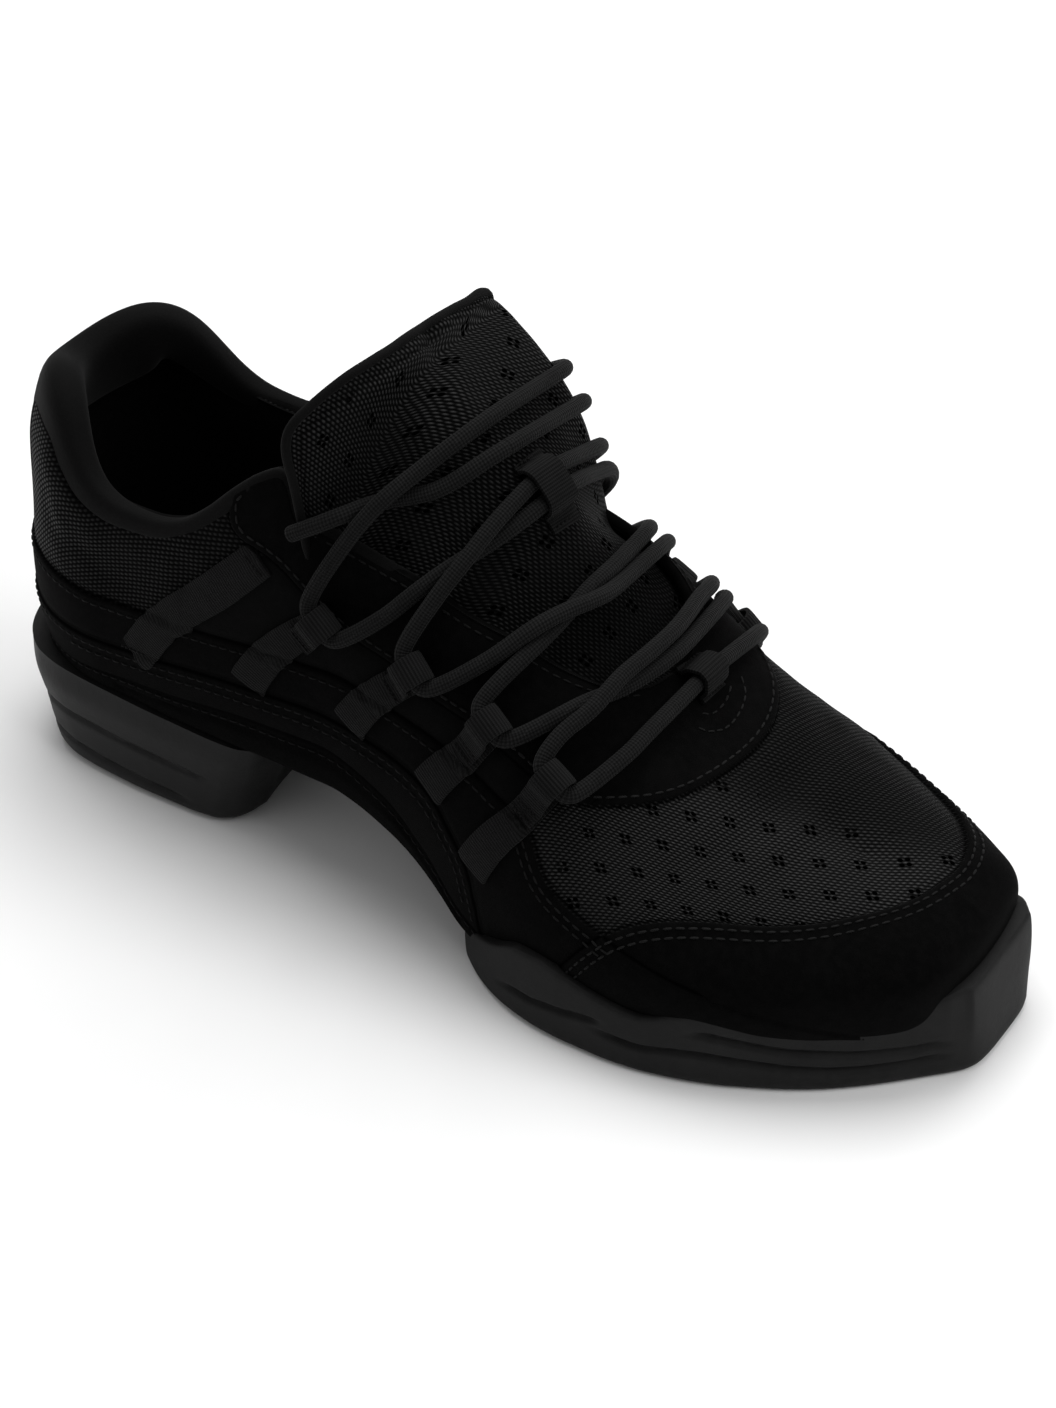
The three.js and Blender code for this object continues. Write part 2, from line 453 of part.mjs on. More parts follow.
// ---------------------------------------------------------------- tongue
// Rows across the tongue from under the vamp to its top: near edge, crest and
// far edge. A height of 0 lies just under the upper there.
const TONGUE = rows(['xn', 'yn', 'zn', 'xc', 'yc', 'zc', 'xm', 'ym', 'zm'], [
  [184.0, -12.0, 0, 184.0, 3.2, 0, 184.0, 18.5, 0],
  [178.0, -14.0, 0, 178.0, 3.4, 0, 178.0, 21.5, 0],
  [171.5, -15.5, 0, 171.5, 3.6, 0, 171.5, 23.0, 0],
  [165.0, -17.5, 0, 165.0, 3.8, 65.0, 165.0, 25.5, 0],
  [158.0, -19.8, 0, 158.0, 3.8, 76.0, 158.0, 27.6, 0],
  [150.0, -21.5, 0, 150.0, 3.5, 87.5, 150.0, 28.8, 0],
  [141.0, -23.2, 0, 142.0, 3.0, 98.5, 141.0, 29.8, 0],
  [131.0, -24.4, 0, 133.0, 2.5, 108.0, 133.0, 32.0, 96.0],
  [121.0, -25.0, 0, 124.0, 2.0, 115.8, 123.0, 33.5, 112.0],
  [111.0, -26.0, 0, 116.0, 2.0, 122.0, 114.0, 33.8, 120.5],
  [101.5, -27.8, 0, 110.0, 1.5, 127.0, 108.5, 33.6, 125.3],
  [94.5, -29.2, 109.0, 106.5, 1.5, 130.0, 105.8, 33.3, 127.2],
  [92.0, -30.0, 118.0, 104.5, 1.5, 131.5, 104.7, 33.0, 128.0]]);
function underForm(x, y, below) {
  const side = y < sec.yr(clamp(x, 0, LAST_LENGTH)) ? -1 : 1;
  const q = atSide(x, y, side), s = shareInv(q.X / LAST_LENGTH), e = 1e-3;
  const f = (u, b) => form(u, b, side), p = f(s, q.a);
  const a1 = f(s, Math.min(q.a + e, 2)), a0 = f(s, q.a - e), s1 = f(s + e, q.a), s0 = f(s - e, q.a);
  const t = [0, 1, 2].map(k => s1[k] - s0[k]), w = [0, 1, 2].map(k => a1[k] - a0[k]);
  const n = [t[1] * w[2] - t[2] * w[1], t[2] * w[0] - t[0] * w[2], t[0] * w[1] - t[1] * w[0]], l = Math.hypot(...n);
  return p[2] - below / Math.max(0.35, Math.abs(n[2]) / l);
}
const TUCK = 5.0;
function tongueRow(r, i) {
  const pts = [], under = WALL + 1.2;
  const zn = r.zn || underForm(r.xn, r.yn, under), zm = r.zm || underForm(r.xm, r.ym, under), zc = r.zc || underForm(r.xc, r.yc, under);
  const tuck = (x, y, z, side) => {
    const X = atSide(x, y, side).X, half = side < 0 ? sec.wl(X) : sec.wm(X), reach = Math.min(TUCK, (half - Math.abs(y)) * 0.42);
    return [x, y + side * reach, Math.max(underForm(x, y + side * reach, under + 0.8), z - 8)];
  };
  pts.push(r.zn ? [r.xn - 0.5, r.yn - 0.6, zn - 4] : tuck(r.xn, r.yn, zn, -1));
  pts.push([r.xn, r.yn, zn], [r.xc, r.yc, zc], [r.xm, r.ym, zm]);
  pts.push(r.zm ? [r.xm - 1.0, r.ym + 2.0, zm - 7] : tuck(r.xm, r.ym, zm, 1));
  const t = pts.map((p, k) => ({ t: p[1], x: p[0], z: p[2] }));
  const cx = curve(t, 't', 'x'), cz = curve(t, 't', 'z'), out = [];
  const marks = [0, 0.5, 1, 1.25, 1.5, 1.75, 2, 2.25, 2.5, 2.75, 3, 3.5, 4];
  for (const m of marks) {
    const k = Math.min(Math.floor(m), 3), y = mix(t[k].t, t[k + 1].t, m - k);
    out.push([cx(y), y, cz(y)]);
  }
  return out;
}
function tongue(grow = 0) {
  const O = TONGUE.map(tongueRow), n = O.length, m = O[0].length;
  const N = O.map((r, i) => r.map((p, j) => {
    const a = O[Math.max(i - 1, 0)][j], b = O[Math.min(i + 1, n - 1)][j], c = r[Math.max(j - 1, 0)], d = r[Math.min(j + 1, m - 1)];
    const t = [0, 1, 2].map(k => b[k] - a[k]), w = [0, 1, 2].map(k => d[k] - c[k]);
    let v = [t[1] * w[2] - t[2] * w[1], t[2] * w[0] - t[0] * w[2], t[0] * w[1] - t[1] * w[0]]; const l = Math.hypot(...v);
    v = v.map(q => q / l); return v[2] < 0 ? v.map(q => -q) : v;
  }));
  const I = O.map((r, i) => r.map((p, j) => p.map((v, k) => v - N[i][j][k] * (TONGUE_THICK + grow))));
  if (grow) O.forEach((r, i) => r.forEach((p, j) => p.forEach((v, k) => { p[k] = v + N[i][j][k] * grow; })));
  const s = new Soup();
  for (let i = 0; i + 1 < n; i++) {
    for (let j = 0; j + 1 < m; j++) {
      s.quad(O[i][j], O[i][j + 1], O[i + 1][j + 1], O[i + 1][j]);
      s.quad(I[i][j], I[i + 1][j], I[i + 1][j + 1], I[i][j + 1]);
    }
    s.quad(O[i][0], O[i + 1][0], I[i + 1][0], I[i][0]);
    s.quad(O[i + 1][m - 1], O[i][m - 1], I[i][m - 1], I[i + 1][m - 1]);
  }
  for (let j = 0; j + 1 < m; j++) {
    s.quad(O[0][j + 1], O[0][j], I[0][j], I[0][j + 1]);
    s.quad(O[n - 1][j], O[n - 1][j + 1], I[n - 1][j + 1], I[n - 1][j]);
  }
  return s.geometry();
}
const tongueWide = solid(tongue(0.22));
const tongueBody = solid(tongue()).subtract(solid(upperGeometry(GAP + 0.1))).decompose().sort((a, b) => b.volume() - a.volume())[0];
add('tongue', fromSolid(tongueBody), 0x1a1a1a, 0.95);

// ---------------------------------------------------------------- lace loops
// Webbing straps from the bottom band up to an eye: true x and height of both
// ends, lateral and medial heights apart.
const LOOPS = rows(['x0', 'x1', 'z0l', 'z1l', 'z0m', 'z1m'], [
  [81.0, 101.8, 50.3, 74.1, 50.0, 72.0], [110.4, 127.7, 51.1, 71.0, 46.5, 65.5],
  [135.7, 148.4, 47.2, 64.8, 38.0, 55.5], [150.4, 164.8, 32.6, 56.7, 26.0, 45.5]]);
const LIFT = 1.0;                                  // webbing over the upper
const EYE_R = LACE_D / 2 + 0.9, EYE_WALL = 1.2, EYE_AT = 2.2;
const unit = v => { const l = Math.hypot(...v); return v.map(q => q / l); };
const cross = (a, b) => [a[1] * b[2] - a[2] * b[1], a[2] * b[0] - a[0] * b[2], a[0] * b[1] - a[1] * b[0]];
const dot = (a, b) => a[0] * b[0] + a[1] * b[1] + a[2] * b[2];
const plus = (p, ...terms) => p.map((v, k) => v + terms.reduce((t, [d, m]) => t + d[k] * m, 0));
function onForm(s, a, side) {
  const e = 1e-3, p = form(s, a, side);
  const ps = plus(form(s + e, a, side), [form(s - e, a, side), -1]).map(v => v / (2 * e));
  const pa = plus(form(s, a + e, side), [form(s, a - e, side), -1]).map(v => v / (2 * e));
  let n = unit(cross(ps, pa)); if (side > 0) n = n.map(v => -v);
  return { p, ps, pa, n };
}
function stepAlong(s, a, side, dir, dist) {          // move over the form by a small distance
  const q = onForm(s, a, side), A = dot(q.ps, q.ps), B = dot(q.ps, q.pa), C = dot(q.pa, q.pa);
  const u = dot(dir, q.ps) * dist, v = dot(dir, q.pa) * dist, D = A * C - B * B;
  return [s + (u * C - v * B) / D, a + (v * A - u * B) / D];
}
function strap(row, side) {
  const b = atHeight(row.x0, side < 0 ? row.z0l : row.z0m, side), t = atHeight(row.x1, side < 0 ? row.z1l : row.z1m, side);
  const s0 = shareInv(b.X / LAST_LENGTH), s1 = shareInv(t.X / LAST_LENGTH);
  const P0 = form(s0, b.a, side), P1 = form(s1, t.a, side), L = Math.hypot(...plus(P1, [P0, -1]));
  const at = u => [mix(s0, s1, clamp(u / L, 0, 1)), mix(b.a, t.a, clamp(u / L, 0, 1))];
  const top = onForm(s1, t.a, side);
  let d = plus(P1, [P0, -1]); d = unit(plus(d, [top.n, -dot(d, top.n)]));
  let w = unit(cross(top.n, d)); if (w[0] < 0) w = w.map(v => -v);
  const h0 = LIFT + LOOP_THICK, R = EYE_R + EYE_WALL, c = [L + EYE_AT, LIFT + R];
  const shape = new THREE.Shape(), N = 10;
  shape.moveTo(0, LIFT);
  const M = Math.round(L / 5);
  for (let i = 1; i <= M; i++) shape.lineTo((L - 1) * i / M, LIFT);
  shape.lineTo(c[0], LIFT);
  const join = Math.PI - Math.asin((c[1] - h0) / R) + 2 * Math.asin((c[1] - h0) / R);
  for (let i = 1; i <= N; i++) {
    const th = -Math.PI / 2 + (join + Math.PI / 2) * i / N;
    shape.lineTo(c[0] + R * Math.cos(th), c[1] + R * Math.sin(th));
  }
  for (let i = M - 1; i >= 0; i--) shape.lineTo((L - 1) * i / M, h0);
  const hole = new THREE.Path();
  for (let i = 0; i < 8; i++) { const th = -2 * Math.PI * i / 8; i ? hole.lineTo(c[0] + EYE_R * Math.cos(th), c[1] + EYE_R * Math.sin(th)) : hole.moveTo(c[0] + EYE_R, c[1]); }
  shape.holes.push(hole);
  const g = new THREE.ExtrudeGeometry(shape, { depth: 1, bevelEnabled: false, steps: 1 }), p = g.attributes.position;
  for (let i = 0; i < p.count; i++) {
    const u = p.getX(i), h = p.getY(i), f = p.getZ(i) - 0.5, width = mix(LOOP_WIDTH + 1, LOOP_WIDTH - 1.2, clamp(u / L, 0, 1));
    const [s, a] = at(u), [s2, a2] = stepAlong(s, a, side, w, f * width), q = onForm(s2, a2, side);
    const past = Math.max(0, u - L), n = past > 0 ? top.n : q.n;
    const r = past > 0 ? plus(P1, [w, f * width], [d, past], [top.n, h]) : plus(q.p, [q.n, h]);
    p.setXYZ(i, ...r);
  }
  g.deleteAttribute('normal'); g.deleteAttribute('uv');
  const m = orient(mergeVertices(g, 1e-3));
  return { geometry: m, eye: plus(P1, [d, EYE_AT], [top.n, LIFT + R]), w, d, n: top.n };
}
// ---------------------------------------------------------------- lace
// Strands in order from the near (lateral) side to the far side; each row is a
// point on the strand's middle line.
const ROUTE = {
  1: rows(['x', 'y', 'z'], [[166.9, -39.7, 61.5], [168.9, -40.0, 60.3], [171.0, -40.3, 59.1], [176.7, -25.1, 62.6], [177.7, -16.4, 64.1], [178.3, -4.5, 64.9], [178.5, 4.4, 65.2], [178.7, 13.8, 64.7], [178.1, 29.2, 61.6], [176.0, 37.4, 57.5], [170.6, 44.8, 48.2], [169.0, 48.1, 44.5], [167.6, 47.7, 46.3], [166.1, 47.2, 48.2]]),
  2: rows(['x', 'y', 'z'], [[167.4, -39.8, 61.2], [165.4, -39.5, 62.4], [163.4, -39.2, 63.5], [163.6, -31.9, 68.2], [166.0, -23.3, 70.4], [168.2, -14.6, 72.3], [170.4, -5.7, 73.9], [171.0, 6.5, 74.6], [168.0, 22.1, 73.2], [164.8, 33.3, 69.2], [152.4, 44.8, 55.3], [150.7, 44.2, 56.8], [149.0, 43.7, 58.3]]),
  3: rows(['x', 'y', 'z'], [[150.0, -38.8, 69.1], [151.9, -39.3, 67.9], [153.8, -39.8, 66.7], [162.9, -28.9, 69.6], [168.7, -14.2, 71.8], [172.5, 2.2, 72.4], [172.1, 12.7, 71.2], [171.0, 23.2, 69.7], [168.6, 33.2, 66.6], [163.0, 41.9, 58.2], [163.7, 46.4, 51.3], [165.1, 46.9, 49.5], [166.5, 47.3, 47.7]]),
  4: rows(['x', 'y', 'z'], [[150.5, -38.9, 68.8], [148.6, -38.4, 70.1], [146.6, -37.9, 71.3], [151.6, -22.7, 82.1], [154.4, -6.8, 84.7], [155.2, 3.6, 85.4], [154.3, 14.1, 85.1], [152.8, 24.3, 84.4], [146.5, 34.3, 77.5], [131.7, 39.9, 65.0], [130.0, 39.4, 66.6], [128.3, 38.9, 68.2]]),
  5: rows(['x', 'y', 'z'], [[128.8, -37.6, 74.5], [130.6, -38.1, 73.0], [132.3, -38.7, 71.5], [144.4, -29.6, 78.3], [150.9, -21.1, 83.6], [154.5, -7.4, 84.7], [155.6, 0.3, 84.5], [156.1, 11.5, 83.5], [156.0, 22.3, 82.3], [153.1, 32.8, 77.2], [147.9, 39.5, 69.1], [146.0, 42.8, 61.0], [147.7, 43.3, 59.5], [149.4, 43.8, 58.0]]),
  6: rows(['x', 'y', 'z'], [[129.3, -37.7, 74.1], [127.5, -37.1, 75.6], [125.8, -36.6, 77.0], [130.0, -26.7, 90.6], [133.4, -17.5, 97.5], [136.6, -7.5, 104.0], [138.2, 0.6, 107.1], [138.5, 9.5, 106.3], [137.6, 21.0, 102.5], [136.2, 29.4, 99.2], [133.0, 35.9, 94.6], [128.2, 39.2, 88.7], [117.4, 38.1, 77.7], [106.6, 36.0, 71.1], [104.9, 35.9, 72.7], [103.2, 35.7, 74.4]]),
  7: rows(['x', 'y', 'z'], [[103.3, -36.6, 76.7], [105.1, -36.8, 75.2], [106.9, -36.9, 73.7], [118.3, -32.6, 81.8], [124.0, -29.0, 87.9], [129.4, -24.3, 93.5], [134.1, -16.5, 97.6], [138.5, -8.2, 101.4], [141.4, 0.5, 103.6], [141.4, 12.1, 101.6], [139.7, 23.2, 96.8], [137.1, 33.5, 91.2], [133.4, 39.4, 83.1], [125.4, 38.1, 70.9], [127.1, 38.6, 69.3], [128.7, 39.1, 67.8]]),
  8: rows(['x', 'y', 'z'], [[103.8, -36.7, 76.3], [102.0, -36.5, 77.9], [100.2, -36.4, 79.4], [106.0, -29.8, 95.2], [111.2, -24.1, 104.5], [117.2, -14.9, 111.1], [121.9, -7.3, 115.8], [125.5, 5.4, 118.6], [126.0, 19.1, 117.3], [125.1, 33.5, 114.7]]),
  "far_end": rows(['x', 'y', 'z'], [[125.0, 34.1, 114.5], [111.9, 41.0, 103.6], [103.8, 38.3, 95.8], [90.4, 35.4, 84.3]]),
  "near_end": rows(['x', 'y', 'z'], [[93.5, -32.5, 95.1], [103.9, -29.0, 101.2], [110.2, -20.5, 103.0], [121.2, -14.7, 106.8], [129.5, -4.6, 113.1]]),
  9: rows(['x', 'y', 'z'], [[129.7, -4.1, 113.2], [131.6, 4.1, 113.8], [132.1, 18.3, 111.8], [130.5, 31.9, 107.9], [122.9, 40.1, 100.1], [117.6, 42.3, 95.1], [110.2, 39.8, 89.2], [102.5, 36.7, 82.9], [100.2, 35.5, 77.2], [101.9, 35.6, 75.5], [103.6, 35.8, 73.9]])
};
const SIDES = 8;
const ring = radius => new THREE.Shape(Array.from({ length: SIDES }, (_, i) => new THREE.Vector2(
  radius * Math.cos(2 * Math.PI * i / SIDES), radius * Math.sin(2 * Math.PI * i / SIDES))));
class Route extends THREE.Curve {                    // one ring at each point of the row list
  constructor(points) { super(); this.points = points.map(p => new THREE.Vector3(...p)); }
  getPointAt(u, target = new THREE.Vector3()) {
    const P = this.points, f = u * (P.length - 1), i = Math.min(Math.floor(f + 1e-6), P.length - 2);
    return target.copy(P[i]).lerp(P[i + 1], f - i);
  }
  getPoint(u, target) { return this.getPointAt(u, target); }
  getTangentAt(u, target = new THREE.Vector3()) {
    const P = this.points, i = Math.round(u * (P.length - 1)), a = P[Math.max(i - 1, 0)], b = P[i], c = P[Math.min(i + 1, P.length - 1)];
    const before = b.clone().sub(a).normalize(), after = c.clone().sub(b).normalize();
    return target.copy(before).add(after).normalize();
  }
}
function tube(points, radius = LACE_D / 2) {
  const g = new THREE.ExtrudeGeometry(ring(radius), { steps: points.length - 1, extrudePath: new Route(points), bevelEnabled: false });
  g.deleteAttribute('normal'); g.deleteAttribute('uv');
  return orient(mergeVertices(g, 1e-3));
}
const route = name => ROUTE[name].map(r => [r.x, r.y, r.z]);
const strands = radius => [1, 2, 3, 4, 5, 6, 7, 8, 9].map(k => solid(tube(route(k), radius))).reduce((a, b) => a.add(b));
const largest = m => m.decompose().sort((a, b) => b.volume() - a.volume())[0];
const CLEAR = 0.3, clearOf = (m, ...cutters) => cutters.reduce((q, k) => q.intersect(k).volume() > 1e-3 ? largest(q.subtract(k)) : q, m);
const channel = strands(LACE_D / 2 + CLEAR);
const nearEnd = solid(tube(route('near_end'), LACE_D / 2 + CLEAR)), farEnd = solid(tube(route('far_end'), LACE_D / 2 + CLEAR));
const fullLace = strands(LACE_D / 2);
add('lace', fromSolid(clearOf(fullLace.subtract(nearEnd).subtract(farEnd), solid(upperGeometry(0.15)), tongueWide)), 0x2a2a2a, 0.9);
add('lace_end_near', fromSolid(clearOf(solid(tube(route('near_end'))), tongueWide)), 0x2a2a2a, 0.9);
add('lace_end_far', fromSolid(clearOf(solid(tube(route('far_end'))), tongueWide)), 0x2a2a2a, 0.9);
for (const side of [-1, 1]) LOOPS.forEach((r, i) =>
  add(`loop_${side < 0 ? 'lateral' : 'medial'}_${i + 1}`, fromSolid(clearOf(solid(strap(r, side).geometry), channel, farEnd, solid(upperGeometry(0.15)))), 0x2e2e2e, 0.9));

// ---------------------------------------------------------------- lace keepers
// Webbing bars over the lace: middle on the surface, upward normal, the lace's
// direction, half width inside, length along the lace.
const KEEPERS = rows(['name', 'x', 'y', 'z', 'nx', 'ny', 'nz', 'dx', 'dy', 'dz', 'half', 'length'], [
  ['tongue_keeper', 137.5, 2.8, 103.2, 0.71, -0.21, 0.67, 0.02, 1.00, -0.08, 5.1, 8.0],
  ['vamp_keeper', 176.2, 7.3, 62.7, 0.65, 0.03, 0.76, 0.03, 1.00, -0.03, 2.9, 9.0]]);
for (const k of KEEPERS) {
  const n = unit([k.nx, k.ny, k.nz]); let d = [k.dx, k.dy, k.dz]; d = unit(plus(d, [n, -dot(d, n)]));
  const w = cross(n, d), foot = 0.7, high = LACE_D + 1.4, t = 1.2, o = k.half + t;
  const shape = new THREE.Shape([[-o, foot], [-o, high - 1], [-o + 1.4, high + t], [o - 1.4, high + t], [o, high - 1], [o, foot],
    [k.half, foot], [k.half, high - 1.2], [k.half - 1.2, high], [-k.half + 1.2, high], [-k.half, high - 1.2], [-k.half, foot]].map(v => new THREE.Vector2(...v)));
  const g = new THREE.ExtrudeGeometry(shape, { depth: k.length, bevelEnabled: false, steps: 1 }), p = g.attributes.position;
  for (let i = 0; i < p.count; i++)
    p.setXYZ(i, ...plus([k.x, k.y, k.z], [w, p.getX(i)], [n, p.getY(i)], [d, p.getZ(i) - k.length / 2]));
  g.deleteAttribute('normal'); g.deleteAttribute('uv');
  add(k.name, fromSolid(clearOf(solid(orient(mergeVertices(g, 1e-3))), channel)), 0x2e2e2e, 0.9);
}

export default group;
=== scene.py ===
import math

import bpy
import numpy as np
from mathutils import Matrix, Vector, noise
from mathutils.bvhtree import BVHTree
from mathutils.kdtree import KDTree


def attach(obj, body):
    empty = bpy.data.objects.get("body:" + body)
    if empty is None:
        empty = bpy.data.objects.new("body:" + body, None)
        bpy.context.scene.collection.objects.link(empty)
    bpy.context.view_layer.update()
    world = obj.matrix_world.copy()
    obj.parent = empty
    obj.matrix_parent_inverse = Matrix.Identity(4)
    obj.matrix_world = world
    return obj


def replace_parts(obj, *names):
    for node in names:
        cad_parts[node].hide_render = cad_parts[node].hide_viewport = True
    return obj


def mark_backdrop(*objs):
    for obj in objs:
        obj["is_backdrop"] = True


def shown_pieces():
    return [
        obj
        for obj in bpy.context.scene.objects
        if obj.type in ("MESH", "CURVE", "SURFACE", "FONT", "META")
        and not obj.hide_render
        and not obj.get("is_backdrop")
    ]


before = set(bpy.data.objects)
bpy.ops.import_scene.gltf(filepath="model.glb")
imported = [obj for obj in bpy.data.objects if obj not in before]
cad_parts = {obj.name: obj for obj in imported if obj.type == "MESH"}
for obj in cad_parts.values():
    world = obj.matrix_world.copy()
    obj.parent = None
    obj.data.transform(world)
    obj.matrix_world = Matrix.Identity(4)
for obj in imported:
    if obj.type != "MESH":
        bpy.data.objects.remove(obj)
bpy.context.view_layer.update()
ORIGIN = np.array([130.0, -1.6, 0.0])
pi = math.pi


def M(p):
    return (np.asarray(p, float) - ORIGIN) / 1000.0


def unit(v):
    v = np.asarray(v, float)
    return v / np.maximum(np.linalg.norm(v, axis=-1, keepdims=True), 1e-12)


def smooth(a, b, x):
    t = np.clip((np.asarray(x, float) - a) / (b - a), 0, 1)
    return t * t * (3 - 2 * t)


# ------------------------------------------------------------------ camera
cam_data = bpy.data.cameras.new("camera")
cam = bpy.data.objects.new("camera", cam_data)
bpy.context.scene.collection.objects.link(cam)
AZ, EL, ROLL, DIST = math.radians(32.6), math.radians(37.6), math.radians(-0.23), 800.0
back = np.array([math.sin(AZ) * math.cos(EL), -math.cos(AZ) * math.cos(EL), math.sin(EL)])
right = np.array([math.cos(AZ), math.sin(AZ), 0.0])
up = np.cross(back, right)
right_r = math.cos(ROLL) * right + math.sin(ROLL) * up
up_r = -math.sin(ROLL) * right + math.cos(ROLL) * up
cam_at = np.array([132.9, 4.3, 40.0]) + back * DIST
rot = Matrix([[right_r[k], up_r[k], back[k]] for k in range(3)]).to_4x4()
cam.matrix_world = Matrix.Translation(Vector(M(cam_at))) @ rot
cam_data.sensor_width = 36.0
cam_data.lens = 87.29
cam_data.clip_start, cam_data.clip_end = 0.05, 20.0
bpy.context.scene.camera = cam
bpy.context.scene.view_settings.view_transform = "Standard"

# ------------------------------------------------------------------ the last's form
# A row for each station: X, half widths lateral and medial, feather edge,
# widest line, ridge, roundness lateral and medial, feather share, ridge's y.
SEC = np.array([
[0,32,31.5,30.5,46,150,2.6,2.6,0.94,0],
[20,32.5,32,31.2,46,150,2.6,2.6,0.94,0],
[40,33,32.5,33.5,46,146.5,2.5,2.5,0.94,0],
[60,34,32.8,35.5,46,139.8,2.4,2.4,0.94,0],
[80,34,32.3,37.5,46.5,130.7,2.3,2.35,0.94,0],
[100,34,32,38.2,46.5,118.1,2.15,2.3,0.94,1],
[120,36.5,34,33.5,45,104.9,2.12,2.5,0.94,2],
[135,40.5,37,25,41,94.8,2.03,2.52,0.94,3],
[145,43.5,39.5,15.5,37,88.2,2.01,2.5,0.94,3.5],
[155,46.5,42,10,32,80.2,2.05,2.5,0.93,4],
[165,49,44,8.2,28,71.5,2.11,2.46,0.91,4],
[180,51,46,8,25,60.4,2.14,2.29,0.9,4],
[195,51.5,46.6,8,24,52.1,2.21,2.2,0.9,3.5],
[210,51.5,46.8,8,24,46.4,2.19,2.13,0.9,3],
[225,51.5,46.5,8.5,24.5,42.9,2.16,2.11,0.9,2],
[240,51.5,46,9.5,25.5,40.6,2.2,2.16,0.9,1],
[256,51.5,45.5,11,27,39,2.3,2.3,0.9,0]],float)
ENDS = np.array([[0,-.8,253],[.5,-1.8,255.5],[1,-2,256],[1.1,-.4,255.8],[1.18,2.4,255.2],[1.25,6,254.4],[1.5,8.5,250],[1.7,9.5,243],[1.85,10.2,234],[2,11,222]],float)
TOE = np.array([[0,0,0],[.1,.19,.235],[.18,.33,.39],[.26,.43,.475],[.4,.56,.58],[.52,.67,.68],[.64,.79,.785],[.74,.875,.868],[.84,.945,.94],[.92,.985,.985],[1,1,1]],float)
COLLAR = np.array([[5,90.5,90.5],[7,93,93],[11,96,96],[16,98,98.5],[22,97.5,99],[28,92,94.5],[34,86,87.5],[42,84,83.5],[52,84,82.5],[60,86,84.5],[68,91.5,93],[76,99.5,101.5],[83,105,107.5],[88,106.5,109]],float)
THROAT = np.array([[93,-27.5,29],[100,-26.5,29],[113,-25.3,29],[124,-24.6,29],[136,-23.6,29],[148,-21.3,28.6],[156,-19.3,27.6],[163,-15.8,25],[168,-11,20.5],[171.5,-5,13.5],[173,3.6,3.8]],float)
LAST, HEEL_ROUND, TOE_ROUND = 256.0, 37.0, 66.0
class Curve:
    def __init__(self, xs, ys):
        xs=np.asarray(xs,float); ys=np.asarray(ys,float); n=len(xs); d=np.diff(ys)/np.diff(xs); m=np.zeros(n)
        for i in range(1,n-1):
            if d[i-1]*d[i]>0:
                h0,h1=xs[i]-xs[i-1],xs[i+1]-xs[i]; w1,w2=2*h1+h0,h1+2*h0; m[i]=(w1+w2)/(w1/d[i-1]+w2/d[i])
        m[0]=d[0]; m[-1]=d[-1]; self.xs,self.ys,self.m=xs,ys,m
    def __call__(self,x):
        xs,ys,m=self.xs,self.ys,self.m; x=np.clip(np.asarray(x,float),xs[0],xs[-1]); k=np.clip(np.searchsorted(xs,x,side='left')-1,0,len(xs)-2)
        h=xs[k+1]-xs[k]; t=(x-xs[k])/h; t2=t*t; t3=t2*t
        return (2*t3-3*t2+1)*ys[k]+(t3-2*t2+t)*h*m[k]+(-2*t3+3*t2)*ys[k+1]+(t3-t2)*h*m[k+1]
SC=[Curve(SEC[:,0],SEC[:,k]) for k in range(10)]
wl,wm,zf_,zw_,zr_,pl,pm,gb_,yr_=SC[1:]
endB,endF=Curve(ENDS[:,0],ENDS[:,1]),Curve(ENDS[:,0],ENDS[:,2])
toeL,toeM=Curve(TOE[:,0],TOE[:,1]),Curve(TOE[:,0],TOE[:,2])
share=lambda s:(1-np.cos(pi*np.asarray(s,float)))/2
share_inv=lambda c:np.arccos(np.clip(1-2*np.asarray(c,float),-1,1))/pi
PULL = 6.0
def sweep(a,c): return endB(a)+(LAST-endB(a))*c-(LAST-endF(a))*np.where(np.asarray(a)<1,c,c**PULL)
def station(x,a,X):
    c=X/LAST; k=c if a<1 else c**PULL
    return LAST*float(np.clip((x-endB(a)+(LAST-endF(a))*k)/(LAST-endB(a)),0,1))
def form(s,a,side):
    s,a,side=np.broadcast_arrays(np.asarray(s,float),np.asarray(a,float),np.asarray(side,float))
    c=share(s); X=LAST*c; x=sweep(a,c); lat=side<0
    w=np.where(lat,wl(X),wm(X)); p=np.where(lat,pl(X),pm(X))
    u=np.clip((HEEL_ROUND-X)/HEEL_ROUND,0,1); eh=np.sqrt(np.maximum(0,1-u*u))
    t=np.sqrt(np.clip((LAST-X)/TOE_ROUND,0,1)); et=np.where(lat,toeL(t),toeM(t)); lean=(toeL(t)+toeM(t))/2
    zf,zw,zr,gb=zf_(X),zw_(X),zr_(X),gb_(X)
    th=pi/2*np.clip(a-1,0,1); v=np.where(a<1,0,np.sin(th))
    g=np.where(a<1,gb+(1-gb)*np.sin(pi/2*np.minimum(a,1)),np.power(np.maximum(0,np.cos(th)),2/p)); g=np.where(a>=2,0,g)
    z=np.where(a<1,zf+(zw-zf)*np.minimum(a,1),zw+(zr-zw)*np.power(np.maximum(v,0),2/p))
    return np.stack([x,(yr_(X)*v*v*lean+side*w*g*et)*eh,z],-1)
def at_height(x,z,side):
    X,a=x,1.0
    for _ in range(30):
        p=(pl if side<0 else pm)(X); v=np.clip((z-zw_(X))/(zr_(X)-zw_(X)),0,1); a=1+np.arcsin(v**(p/2))/(pi/2)
        X=station(x,a,X)
    return float(X),float(a)
